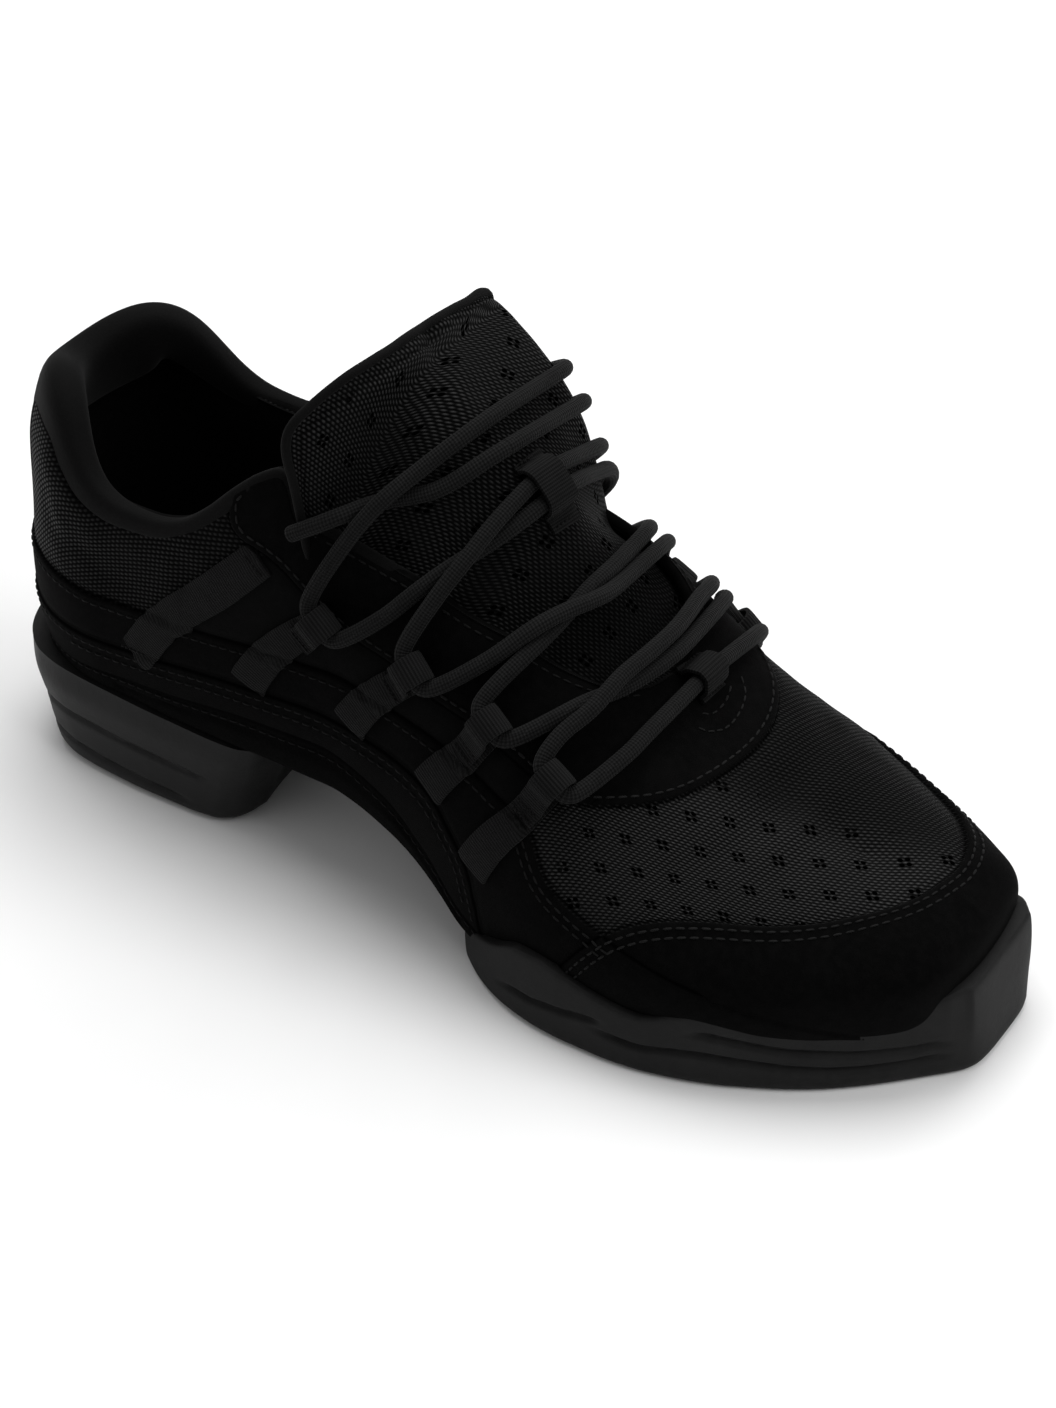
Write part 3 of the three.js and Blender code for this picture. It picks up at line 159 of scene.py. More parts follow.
def at_side(x,y,side):
    X,a=x,1.5
    for _ in range(40):
        lo,hi=1.0,2.0; s=share_inv(X/LAST)
        for _k in range(40):
            m=(lo+hi)/2
            if side*form(s,m,side)[1]>side*y: lo=m
            else: hi=m
        a=(lo+hi)/2; X=.5*X+.5*station(x,a,X)
    return float(X),float(a)
def rim_table(side):
    k=1 if side<0 else 2
    out=[at_height(r[0],r[k],side) for r in COLLAR]+[at_side(r[0],r[k],side) for r in THROAT[:-1]]
    X=190.0
    for _ in range(60): X=station(THROAT[-1,0],2.0,X)
    out.append((X,2.0)); out[0]=(0.0,out[0][1]); return np.array(out)
RIM={-1:rim_table(-1),1:rim_table(1)}
rimc={k:Curve(v[:,0],v[:,1]) for k,v in RIM.items()}; throatX=RIM[1][-1,0]
def rim_angle(X,side):
    X=np.asarray(X,float); return np.where(X>=throatX-1e-4,2.0,np.where(np.asarray(side)<0,rimc[-1](X),rimc[1](X)))


# ------------------------------------------------------------------ mesh helpers
def volume(v, f):
    a, b, c = v[f[:, 0]], v[f[:, 1]], v[f[:, 2]]
    t = np.einsum("ij,ij->i", a, np.cross(b, c)).sum()
    if f.shape[1] == 4:
        t += np.einsum("ij,ij->i", a, np.cross(c, v[f[:, 3]])).sum()
    return t


def make(name, verts, quads, tris=None, attrs=None, uv=None, mats=(), ride="root", sharp=40):
    """A smooth-shaded closed mesh in shoe millimetres; quads and tris are index arrays."""
    verts = np.asarray(verts, float)
    key = np.round(verts, 3)
    _, first, back_ix = np.unique(key, axis=0, return_index=True, return_inverse=True)
    back_ix = back_ix.reshape(-1)
    faces = []
    vol = 0.0
    for f in (quads, tris):
        if f is None or len(f) == 0:
            continue
        f = np.asarray(f, int)
        vol += volume(verts, f)
        faces += back_ix[f].tolist()
    out = []
    for f in faces:
        g = [f[0]]
        for i in f[1:]:
            if i != g[-1] and i != g[0]:
                g.append(i)
        if len(g) > 2 and len(set(g)) == len(g):
            out.append(g if vol > 0 else g[::-1])
    v = verts[first]
    me = bpy.data.meshes.new(name)
    me.from_pydata(M(v).tolist(), [], out)
    me.update()
    if uv is not None:
        layer = me.uv_layers.new(name="uv")
        ix = np.zeros(len(me.loops), int)
        me.loops.foreach_get("vertex_index", ix)
        layer.data.foreach_set("uv", (np.asarray(uv)[first][ix] / 1000.0).ravel())
    for k, a in (attrs or {}).items():
        d = me.attributes.new(k, "FLOAT", "POINT")
        d.data.foreach_set("value", np.asarray(a, float)[first])
    ob = bpy.data.objects.new(name, me)
    bpy.context.scene.collection.objects.link(ob)
    me.polygons.foreach_set("use_smooth", [True] * len(me.polygons))
    if sharp:
        me.set_sharp_from_angle(angle=math.radians(sharp))
    for m in mats:
        me.materials.append(m)
    if ride:
        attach(ob, ride)
    return ob


def grid_quads(n, m, wrap=False, base=0):
    i, j = np.meshgrid(np.arange(n - 1), np.arange(m if wrap else m - 1), indexing="ij")
    k = (j + 1) % m
    return (np.stack([i * m + j, i * m + k, (i + 1) * m + k, (i + 1) * m + j], -1).reshape(-1, 4) + base)


def caps(n, m, verts, base=0, first=True, last=True):
    """Fans closing the first and last ring of an n by m ring grid."""
    verts = list(map(tuple, verts)) if not isinstance(verts, list) else verts
    tris = []
    for on, r, flip in ((first, 0, True), (last, n - 1, False)):
        if not on:
            continue
        ring = [base + r * m + j for j in range(m)]
        mid = np.mean([verts[q] for q in ring], 0)
        verts.append(tuple(mid))
        c = len(verts) - 1
        for j in range(m):
            a, b = ring[j], ring[(j + 1) % m]
            tris.append([b, a, c] if flip else [a, b, c])
    return verts, tris


def resample(p, step):
    p = np.asarray(p, float)
    d = np.r_[0, np.cumsum(np.linalg.norm(np.diff(p, axis=0), axis=1))]
    n = max(2, int(round(d[-1] / step)) + 1)
    t = np.linspace(0, d[-1], n)
    return np.stack([np.interp(t, d, p[:, k]) for k in range(p.shape[1])], -1)


def catmull(p, step):
    """Smooth curve through points, evenly spaced."""
    p = np.asarray(p, float)
    q = np.vstack([2 * p[0] - p[1], p, 2 * p[-1] - p[-2]])
    out = []
    for i in range(len(p) - 1):
        a, b, c, d = q[i], q[i + 1], q[i + 2], q[i + 3]
        ta, tb, tc = [max(np.linalg.norm(v) ** 0.5, 1e-3) for v in (b - a, c - b, d - c)]
        m1 = (c - b) + tb * ((b - a) / ta - (c - a) / (ta + tb))
        m2 = (c - b) + tb * ((d - c) / tc - (d - b) / (tb + tc))
        for t in np.linspace(0, 1, 12, endpoint=False):
            out.append((2 * t**3 - 3 * t**2 + 1) * b + (t**3 - 2 * t**2 + t) * m1 + (-2 * t**3 + 3 * t**2) * c + (t**3 - t**2) * m2)
    out.append(p[-1])
    return resample(np.array(out), step)


def frames(p, n_hint=None):
    """Tangents and a twist-free normal along a path, or the given normals made square to it."""
    t = unit(np.gradient(p, axis=0))
    if n_hint is not None:
        n = n_hint - np.sum(n_hint * t, 1, keepdims=True) * t
        return t, unit(n)
    n = np.zeros_like(p)
    a = np.array([0, 0, 1.0]) if abs(t[0][2]) < 0.9 else np.array([1.0, 0, 0])
    n[0] = unit(a - a @ t[0] * t[0])
    for i in range(1, len(p)):
        v = n[i - 1] - n[i - 1] @ t[i] * t[i]
        n[i] = unit(v)
    return t, n


def sweep_ring(p, n, shape, scale=None):
    """Rings of the closed 2-D shape (along n, along n x t) round a path."""
    t, n = frames(p, n)
    b = np.cross(t, n)
    s = np.ones((len(p), 2)) if scale is None else scale
    return (p[:, None] + n[:, None] * (shape[None, :, :1] * s[:, None, :1]) + b[:, None] * (shape[None, :, 1:] * s[:, None, 1:]))


def tree(verts, faces):
    return BVHTree.FromPolygons([tuple(v) for v in verts], [tuple(f) for f in faces])


def snap(bvh, pts):
    """Nearest points on a surface, and its normals there."""
    q, n = [], []
    for p in np.asarray(pts, float).reshape(-1, 3):
        r = bvh.find_nearest(Vector(p))
        q.append(tuple(r[0])), n.append(tuple(r[1]))
    return np.array(q), np.array(n)


def wobble(p, size, seed=0.0):
    return np.array([noise.noise(Vector((a / size + seed, b / size, c / size))) for a, b, c in p])


# ------------------------------------------------------------------ the form as a grid
def tangents(s, a, side):
    e = 1e-3
    ps = form(np.minimum(s + e, 1), a, side) - form(np.maximum(s - e, 0), a, side)
    pa = form(s, np.minimum(a + e, 2), side) - form(s, np.maximum(a - e, 0), side)
    return unit(ps), unit(pa), unit(np.cross(ps, pa)) * (-side)


NS, NA_OUT, NA_IN = ((330, 96, 24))
s_throat = float(share_inv(throatX / LAST))
n_back = int(round(NS * s_throat))
S_COL = np.r_[np.linspace(0, s_throat, n_back), np.linspace(s_throat, 1, NS - n_back + 1)[1:]]


def angle_rows(side, drop, count):
    """Section angles of each column, evenly spaced by length, from the feather edge up to drop below the rim."""
    out, length = [], []
    for s in S_COL:
        X = LAST * float(share(s))
        r = float(rim_angle(X, side))
        a = np.linspace(0, r, 240)
        p = form(np.full(240, s), a, side)
        d = np.r_[0, np.cumsum(np.linalg.norm(np.diff(p, axis=0), axis=1))]
        top = d[-1] - (drop if r < 1.9999 else 0)
        out.append(np.interp(np.linspace(0, top, count), d, a))
        length.append(d[-1])
    return np.array(out), np.array(length)


def column_arc(side, A):
    """Length along each section measured down from the ridge."""
    out = np.zeros_like(A)
    for i, s in enumerate(S_COL):
        a = np.linspace(0, 2, 300)
        p = form(np.full(300, s), a, side)
        d = np.r_[0, np.cumsum(np.linalg.norm(np.diff(p, axis=0), axis=1))]
        out[i] = np.interp(A[i], a, d[-1] - d)
    return out


EDGE = 1.0
A_OUT, LEN, P0, N0, ARC = {}, {}, {}, {}, {}
for k in (-1, 1):
    A_OUT[k], LEN[k] = angle_rows(k, EDGE, NA_OUT)
    Sg = np.repeat(S_COL[:, None], NA_OUT, 1)
    P0[k] = form(Sg, A_OUT[k], k)
    N0[k] = tangents(Sg, A_OUT[k], k)[2]
    N0[k][0] = N0[k][0] * [1, 0, 1]
    N0[k][-1] = N0[k][-1] * [1, 0, 1]
    N0[k] = unit(N0[k])
    ARC[k] = column_arc(k, A_OUT[k])
for i in range(len(S_COL)):
    if A_OUT[1][i, -1] > 1.9999:
        m = unit(N0[-1][i, -1] + N0[1][i, -1])
        N0[-1][i, -1] = N0[1][i, -1] = m
n_s = len(S_COL)
# even out the form over the toes, where the sections close in on the ridge
n_r2 = NA_OUT
T0 = n_back + 2
comb = np.concatenate([P0[-1][T0:], P0[1][T0:, ::-1][:, 1:]], 1)
combN = np.concatenate([N0[-1][T0:], N0[1][T0:, ::-1][:, 1:]], 1)
angc = np.concatenate([A_OUT[-1][T0:], A_OUT[1][T0:, ::-1][:, 1:]], 1)
wgt = (smooth(205, 222, comb[..., 0]) * smooth(1.15, 1.5, angc))[..., None]
for _ in range(60):
    av = comb.copy()
    av[1:-1, 1:-1] = (comb[:-2, 1:-1] + comb[2:, 1:-1] + comb[1:-1, :-2] + comb[1:-1, 2:]) / 4
    comb = comb * (1 - wgt * 0.9) + av * wgt * 0.9
for _ in range(20):
    av = combN.copy()
    av[1:-1, 1:-1] = (combN[:-2, 1:-1] + combN[2:, 1:-1] + combN[1:-1, :-2] + combN[1:-1, 2:]) / 4
    combN = combN * (1 - wgt) + av * wgt
combN = unit(combN)
comb[-1, :, 1], combN[-1, :, 1] = comb[-1, :, 1] * 0, combN[-1, :, 1] * 0
P0[-1][T0:], P0[1][T0:] = comb[:, :n_r2], comb[:, n_r2 - 1:][:, ::-1]
N0[-1][T0:], N0[1][T0:] = unit(combN[:, :n_r2]), unit(combN[:, n_r2 - 1:][:, ::-1])
flatP = np.concatenate([P0[-1].reshape(-1, 3), P0[1].reshape(-1, 3)])
flatN = np.concatenate([N0[-1].reshape(-1, 3), N0[1].reshape(-1, 3)])
Qm = grid_quads(n_s, NA_OUT)
base_faces = np.concatenate([Qm, Qm[:, ::-1] + n_s * NA_OUT])
BASE = tree(flatP, base_faces.tolist())


def on_form(points, step=1.5):
    """A smooth line on the form through rough points near it, with outward normals."""
    q, n = snap(BASE, catmull(points, step))
    q[1:-1] = (q[:-2] + 2 * q[1:-1] + q[2:]) / 4
    q, n = snap(BASE, q)
    for _ in range(2):
        n[1:-1] = unit(n[:-2] + n[1:-1] + n[2:])
    return q, out_normals(q, n)


def out_normals(q, n):
    c = np.array([[x, 0.0, 24.0] for x in np.clip(q[:, 0], 30, 225)])
    s = np.sign(np.sum(n * (q - c), 1))
    return n * s[:, None]


def far(points, share_y=0.92):
    return [[x, -y * share_y, z] for x, y, z in points]


def signed(P, N, line, normals, flip=1):
    """Distance to a line on the surface, positive on its n x t side."""
    best = np.full(len(P), 1e9)
    sign = np.zeros(len(P))
    for i in range(len(line) - 1):
        a, b = line[i], line[i + 1]
        ab = b - a
        t = np.clip((P - a) @ ab / (ab @ ab), 0, 1)
        r = P - (a + t[:, None] * ab)
        d = np.einsum("ij,ij->i", r, r)
        side = r @ np.cross(normals[i], ab)
        m = d < best
        best[m], sign[m] = d[m], np.sign(side[m])
    return np.sqrt(best) * np.where(sign == 0, 1, sign) * flip


# ------------------------------------------------------------------ panel lines
CAP_NEAR = [(169.0, -44.0, 5.0), (170.1, -45.9, 9.5), (173.5, -48.5, 15.2), (179.6, -50.7, 24.6), (185.3, -50.0, 31.7), (191.0, -46.9, 35.6), (199.0, -43.4, 38.5), (206.5, -39.0, 38.4), (218.9, -32.0, 37.9), (227.6, -25.3, 38.2), (235.2, -16.5, 38.1), (239.9, -9.5, 38.0), (242.4, -1.6, 37.7)]
CAP_FAR = [(243.8, 7.0, 37.4), (242.1, 15.8, 37.0), (237.4, 23.9, 35.1), (231.3, 30.3, 33.8), (222.0, 35.5, 33.6), (212.0, 39.5, 34.2), (203.0, 42.3, 35.0), (194.5, 44.5, 34.0), (187.0, 46.4, 30.5), (180.5, 46.6, 24.0), (174.0, 44.8, 15.0), (170.5, 42.0, 9.5), (169.0, 40.0, 5.0)]
A_NEAR = [(-1.5, 0.0, 56.4), (0.4, -9.5, 56.4), (3.7, -16.0, 56.3), (8.8, -21.9, 56.2), (15.8, -27.0, 56.2), (24.3, -30.8, 56.2), (33.2, -32.6, 55.8), (50.2, -33.5, 57.3), (63.7, -33.6, 58.3), (81.3, -33.5, 59.8), (94.3, -33.5, 60.4), (110.2, -33.9, 60.6), (122.1, -35.6, 59.4), (135.1, -37.6, 57.8), (146.5, -39.6, 54.9), (155.1, -41.2, 51.6), (161.2, -42.2, 49.4), (164.6, -43.6, 46.8), (167.4, -45.7, 42.6), (171.2, -47.2, 38.6), (178.0, -48.3, 35.5), (184.7, -49.0, 33.0), (191.0, -49.7, 31.3), (200.0, -49.8, 29.0), (210.0, -48.6, 26.5)]
B_NEAR = [(-1.9, 0.0, 42.0), (0.2, -9.5, 42.0), (3.5, -16.0, 42.0), (8.4, -21.9, 42.0), (13.5, -26.3, 42.1), (18.9, -29.0, 42.3), (39.2, -33.0, 43.6), (52.2, -33.8, 45.3), (71.3, -33.9, 47.3), (83.7, -34.0, 48.2), (96.8, -33.9, 49.0), (105.5, -34.3, 49.0), (114.6, -35.5, 48.6), (122.9, -37.2, 47.8), (131.6, -39.3, 46.5), (137.1, -41.1, 44.1), (140.6, -42.1, 40.6), (144.4, -43.4, 36.5), (147.7, -44.5, 31.6), (149.0, -44.5, 26.7), (149.9, -43.6, 17.8), (150.1, -42.5, 10.0), (150.2, -41.0, 3.0)]
E_NEAR = [(75.0, -28.5, 103.0), (75.5, -29.5, 97.5), (76.3, -30.5, 90.6), (79.2, -31.0, 88.0), (84.0, -31.2, 86.8), (89.4, -31.2, 84.6), (96.0, -31.3, 79.8), (107.1, -31.6, 73.6), (121.4, -32.8, 70.4), (131.8, -34.2, 67.2), (143.5, -35.0, 64.8), (151.2, -35.8, 62.2), (161.6, -36.8, 57.8), (168.0, -37.0, 55.2), (173.8, -34.6, 54.2), (179.0, -31.0, 53.8), (184.8, -25.2, 53.2), (188.8, -18.0, 52.6), (191.6, -6.4, 51.8), (192.6, 3.0, 51.4)]
E_FAR = [(192.4, 11.0, 51.3), (191.1, 18.1, 52.3), (188.0, 24.4, 52.8), (183.0, 29.6, 53.2), (177.0, 33.2, 53.8), (171.0, 35.4, 55.0), (164.0, 36.2, 57.6), (155.0, 36.0, 61.5), (145.0, 34.5, 64.6), (132.0, 33.6, 67.2), (121.4, 32.4, 70.6), (107.2, 31.5, 73.8), (96.0, 31.3, 80.0), (89.5, 31.1, 85.0), (84.0, 31.2, 87.2), (79.2, 31.0, 88.6), (76.3, 30.5, 91.2), (75.5, 30.0, 98.5), (75.0, 29.0, 105.0)]
W_NEAR = [(40.0, -33.0, 36.0), (47.6, -33.5, 45.1), (53.0, -33.7, 53.0), (58.9, -33.7, 59.0), (70.5, -32.8, 71.0), (83.5, -31.3, 83.9), (92.0, -30.0, 92.0)]
V_NEAR = [(156.0, -44.0, 38.0), (160.5, -41.0, 49.0), (164.5, -38.0, 56.5), (167.0, -36.0, 59.0)]

LINES = {}
LINES["cap"] = on_form(CAP_NEAR + CAP_FAR)
LINES["fox"] = on_form(far(A_NEAR)[::-1] + A_NEAR[1:])
LINES["low"] = on_form(far(B_NEAR)[::-1] + B_NEAR[1:])
LINES["eye"] = on_form(E_NEAR + E_FAR)
for k, sgn in (("n", -1), ("f", 1)):
    LINES["w" + k] = on_form(W_NEAR if sgn < 0 else far(W_NEAR, 0.95))
    LINES["v" + k] = on_form(V_NEAR if sgn < 0 else far(V_NEAR))
D = {k: signed(flatP, flatN, *LINES[k]) for k in LINES}


def at(points, key):
    """Sign of a line's side that holds a point, to fix its orientation."""
    q, n = snap(BASE, [points])
    return float(np.sign(signed(q, out_normals(q, n), *LINES[key])[0]))


D["cap"] *= at((245.0, -20.0, 30.0), "cap")
D["fox"] *= at((100.0, -34.0, 45.0), "fox")
D["low"] *= at((60.0, -33.0, 38.0), "low")
D["eye"] *= at((150.0, -28.0, 72.0), "eye")
D["wn"] *= at((90.0, -33.0, 66.0), "wn")
D["wf"] *= at((90.0, 32.0, 66.0), "wf")
D["vn"] *= at((172.0, -42.0, 46.0), "vn")
D["vf"] *= at((172.0, 39.0, 46.0), "vf")
sides = np.r_[np.full(n_s * NA_OUT, -1), np.full(n_s * NA_OUT, 1)]
D["w"] = np.where(sides < 0, D["wn"], D["wf"])
D["v"] = np.where(sides < 0, D["vn"], D["vf"])
D["w"] = np.where(flatP[:, 0] > 100, 30, D["w"])
D["w"] = np.where((flatP[:, 0] < 35), -30, D["w"])
D["v"] = np.where(flatP[:, 0] > 178, 30, D["v"])
D["v"] = np.where(flatP[:, 0] < 150, -30, D["v"])
# length down from the collar's rim
D["rim"] = np.concatenate([(LEN[k][:, None] - (ARC[k][:, -1:] * 0 + LEN[k][:, None]) + (ARC[k] - ARC[k][:, -1:]) + EDGE).ravel() for k in (-1, 1)])
xg = flatP[:, 0]
roll_w = np.interp(xg, [-5, 8, 15, 25, 33, 45, 60, 80, 300], [10, 10, 9.5, 8, 5, 3.2, 2.4, 2.0, 2.0])
open_here = np.concatenate([np.repeat(A_OUT[k][:, -1:] < 1.9999, NA_OUT, 1).ravel() for k in (-1, 1)])
D["rim"] = np.where(open_here, D["rim"], 60.0)
D["roll"] = np.where(open_here & (xg < 122), roll_w - D["rim"], -30.0)
D["smooth"] = np.minimum(D["w"], -D["v"])


# ------------------------------------------------------------------ materials
class Net:
    """Small helper round one material's node tree."""

    def __init__(self, name):
        self.m = bpy.data.materials.new(name)
        self.m.use_nodes = True
        self.t = self.m.node_tree
        self.b = self.t.nodes["Principled BSDF"]

    def put(self, node, key, v):
        s = node.inputs[key]
        if isinstance(v, bpy.types.NodeSocket):
            self.t.links.new(v, s)
        else:
            s.default_value = v

    def math(self, op, a, b=0.0, c=0.0, clamp=False):
        n = self.t.nodes.new("ShaderNodeMath")
        n.operation, n.use_clamp = op, clamp
        for i, v in enumerate((a, b, c)):
            self.put(n, i, v)
        return n.outputs[0]

    def attr(self, name):
        n = self.t.nodes.new("ShaderNodeAttribute")
        n.attribute_name = name
        return n.outputs["Fac"]

    def step(self, d, w=0.3):
        n = self.t.nodes.new("ShaderNodeMapRange")
        n.interpolation_type = "SMOOTHSTEP"
        self.put(n, "Value", d)
        n.inputs["From Min"].default_value, n.inputs["From Max"].default_value = -w, w
        return n.outputs[0]

    def ramp(self, v, a, b, lo=0.0, hi=1.0):
        n = self.t.nodes.new("ShaderNodeMapRange")
        n.interpolation_type = "SMOOTHSTEP"
        self.put(n, "Value", v)
        for k, q in (("From Min", a), ("From Max", b), ("To Min", lo), ("To Max", hi)):
            n.inputs[k].default_value = q
        return n.outputs[0]

    def obj(self):
        return self.t.nodes.new("ShaderNodeTexCoord").outputs["Object"]

    def uv(self):
        """u and v in millimetres."""
        u = self.t.nodes.new("ShaderNodeUVMap")
        u.uv_map = "uv"
        s = self.t.nodes.new("ShaderNodeSeparateXYZ")
        self.t.links.new(u.outputs[0], s.inputs[0])
        return self.math("MULTIPLY", s.outputs[0], 1000.0), self.math("MULTIPLY", s.outputs[1], 1000.0)

    def noise(self, mm, detail=3.0, rough=0.55, vec=None):
        n = self.t.nodes.new("ShaderNodeTexNoise")
        self.t.links.new(vec if vec is not None else self.obj(), n.inputs["Vector"])
        n.inputs["Scale"].default_value = 1000.0 / mm
        n.inputs["Detail"].default_value = detail
        n.inputs["Roughness"].default_value = rough
        return n.outputs[0]

    def mix(self, f, a, b):
        n = self.t.nodes.new("ShaderNodeMix")
        n.data_type = "RGBA"
        self.put(n, 0, f)
        for i, v in ((6, a), (7, b)):
            s = n.inputs[i]
            if isinstance(v, bpy.types.NodeSocket):
                self.t.links.new(v, s)
            else:
                s.default_value = (*v, 1.0)
        return n.outputs[2]

    def fmix(self, f, a, b):
        n = self.t.nodes.new("ShaderNodeMix")
        self.put(n, 0, f), self.put(n, 2, a), self.put(n, 3, b)
        return n.outputs[0]

    def bump(self, height, dist_mm, strength=1.0, normal=None):
        n = self.t.nodes.new("ShaderNodeBump")
        n.inputs["Strength"].default_value = strength
        n.inputs["Distance"].default_value = dist_mm / 1000.0
        self.put(n, "Height", height)
        if normal is not None:
            self.t.links.new(normal, n.inputs["Normal"])
        return n.outputs[0]

    def finish(self, color, rough, normal=None, spec=0.1, sheen=0.0, sheen_rough=0.5, coat=0.0):
        b = self.b
        if isinstance(color, bpy.types.NodeSocket):
            self.t.links.new(color, b.inputs["Base Color"])
        else:
            b.inputs["Base Color"].default_value = (*color, 1)
        self.put(b, "Roughness", rough)
        half = lambda q: self.math("MULTIPLY", q, 0.46) if isinstance(q, bpy.types.NodeSocket) else q * 0.46
        self.put(b, "Specular IOR Level", half(spec))
        self.put(b, "Sheen Weight", half(sheen))
        b.inputs["Sheen Roughness"].default_value = sheen_rough
        b.inputs["Coat Weight"].default_value = coat
        if normal is not None:
            self.t.links.new(normal, b.inputs["Normal"])
        return self.m


def g3(v, warm=1.0):
    v = v * 0.28
    return (v * warm, v, v)


def weave(N, u, v, period, angle):
    """Knit of short thread tops in rows, each row half a step on: 0..1; it shapes bumps and shine, and in the mesh
    colours it gives painted glints on the tops and painted shade between them.
    """
    c, s = math.cos(angle), math.sin(angle)
    k = 2 * pi / period
    p = N.math("ADD", N.math("MULTIPLY", u, k * c), N.math("MULTIPLY", v, k * s))
    q = N.math("ADD", N.math("MULTIPLY", u, k * s * 0.60), N.math("MULTIPLY", v, -k * c * 0.60))
    row = N.math("MULTIPLY", N.math("FLOOR", N.math("DIVIDE", p, 2 * pi)), pi)
    a = N.math("MULTIPLY_ADD", N.math("COSINE", p), -0.5, 0.5)
    b = N.math("MULTIPLY_ADD", N.math("SINE", N.math("ADD", q, row)), 0.34, 0.62)
    return N.math("MULTIPLY", N.math("POWER", a, 0.8), b, clamp=True)


def holes(N, u, v, pitch, angle):
    """Clusters of small holes on a turned square lattice: 1 in a hole."""
    c, s = math.cos(angle) / pitch, math.sin(angle) / pitch
    p = N.math("ADD", N.math("MULTIPLY", u, c), N.math("MULTIPLY", v, s))
    q = N.math("SUBTRACT", N.math("MULTIPLY", v, c), N.math("MULTIPLY", u, s))
    def local(w):
        return N.math("MULTIPLY", N.math("SUBTRACT", N.math("FRACT", w), 0.5), pitch)
    x, y = N.math("ABSOLUTE", local(p)), N.math("ABSOLUTE", local(q))
    dx, dy = N.math("SUBTRACT", x, 0.86), N.math("SUBTRACT", y, 0.86)
    r = N.math("SQRT", N.math("ADD", N.math("MULTIPLY", dx, dx), N.math("MULTIPLY", dy, dy)))
    return N.ramp(r, 0.74, 0.50)


def groove(N, d, at_mm, width):
    x = N.math("DIVIDE", N.math("SUBTRACT", d, at_mm), width)
    return N.math("EXPONENT", N.math("MULTIPLY", N.math("MULTIPLY", x, x), -1.0))


def upper_material():
    N = Net("upper")
    u, v = N.uv()
    fox, eye, cap, low, mid, roll, vamp = [N.attr(k) for k in ("fox", "eye", "cap", "low", "smooth", "roll", "vamp")]
    nub = N.math("MAXIMUM", N.math("MAXIMUM", N.step(fox), N.step(eye)), N.math("MAXIMUM", N.step(cap), N.step(mid)))
    soft = N.math("MULTIPLY", N.step(roll, 0.4), N.math("SUBTRACT", 1.0, N.step(eye)))
    nub = N.math("MULTIPLY", nub, N.math("SUBTRACT", 1.0, soft))
    mesh = N.math("SUBTRACT", 1.0, N.math("MAXIMUM", nub, soft))
    w = weave(N, u, v, 0.98, math.radians(122))
    hole = N.math("MULTIPLY", holes(N, u, v, 10.3, math.radians(42)), N.math("MULTIPLY", vamp, mesh))
    # painted light on the mesh: its threads are painted brighter and shinier towards the toe, and painted shade dulls
    # them on the far side of the vamp
    place = N.t.nodes.new("ShaderNodeSeparateXYZ")
    N.t.links.new(N.obj(), place.inputs[0])
    mesh_painted_light = N.ramp(place.outputs[0], -0.025, 0.025)
    far_side_painted_shade = N.math("SUBTRACT", N.math("ADD", place.outputs[1], 0.008), N.math("MULTIPLY", N.math("SUBTRACT", place.outputs[0], 0.073), 0.47))
    mesh_painted_light = N.math("MULTIPLY", mesh_painted_light, N.ramp(far_side_painted_shade, -0.006, 0.012, 1.0, 0.15))
    fine, mott, big = N.noise(0.35, 4.0, 0.7), N.noise(2.2, 4.0, 0.6), N.noise(16.0, 3.0)
    nap = N.mix(N.ramp(mott, 0.35, 0.7), g3(0.0030), g3(0.0062, 1.03))
    nap = N.mix(N.math("MULTIPLY", N.ramp(big, 0.5, 0.75), 0.4), nap, g3(0.0100, 1.04))
    smoothq = N.mix(N.ramp(mott, 0.3, 0.7), g3(0.0075), g3(0.0105))
    only_mid = N.math("MULTIPLY", N.step(mid), N.math("SUBTRACT", 1.0, N.math("MAXIMUM", N.step(fox), N.math("MAXIMUM", N.step(eye), N.step(cap)))))
    nap = N.mix(only_mid, nap, smoothq)
    # mesh colour: painted glints on the thread tops and painted shade in the gaps, brightest where the painted light
    # above falls
    thread = N.mix(N.ramp(w, 0.15, 0.95), g3(0.0040), N.mix(mesh_painted_light, g3(0.018), g3(0.056)))
    thread = N.mix(N.math("MULTIPLY", N.ramp(big, 0.45, 0.7), 0.35), thread, g3(0.012))
    lining = N.mix(N.ramp(mott, 0.3, 0.7), g3(0.0085), g3(0.0125))
    col = N.mix(mesh, N.mix(soft, nap, lining), thread)
    seams = N.math("MAXIMUM", N.math("MAXIMUM", groove(N, fox, -0.35, 0.4), groove(N, eye, -0.35, 0.4)), N.math("MAXIMUM", groove(N, cap, -0.35, 0.4), groove(N, low, -0.2, 0.35)))
    seams = N.math("MAXIMUM", seams, N.math("MULTIPLY", groove(N, roll, 0.0, 0.5), N.math("SUBTRACT", 1.0, N.step(eye))))
    dark = N.math("MAXIMUM", N.math("MULTIPLY", seams, 0.75), hole)
    col = N.mix(dark, col, g3(0.0008))
    height = N.fmix(mesh, N.math("MULTIPLY_ADD", fine, 0.5, N.math("MULTIPLY", mott, 0.35)), N.math("MULTIPLY_ADD", w, 1.0, N.math("MULTIPLY", fine, 0.2)))
    n1 = N.bump(height, 0.28, 0.8)
    n2 = N.bump(N.math("SUBTRACT", 1.0, dark), 0.5, 0.9, n1)
    rough = N.fmix(mesh, N.math("MULTIPLY_ADD", mott, 0.15, 0.8), N.math("MULTIPLY_ADD", w, -0.3, 0.75))
    shut = N.math("SUBTRACT", 1.0, dark)
    spec = N.math("MULTIPLY", shut, N.fmix(mesh, 0.06, N.math("MULTIPLY", w, N.fmix(mesh_painted_light, 0.18, 0.52))))
    return N.finish(col, rough, n2, spec=spec, sheen=N.math("MULTIPLY", shut, N.fmix(mesh, 0.018, 0.04)), sheen_rough=0.45)


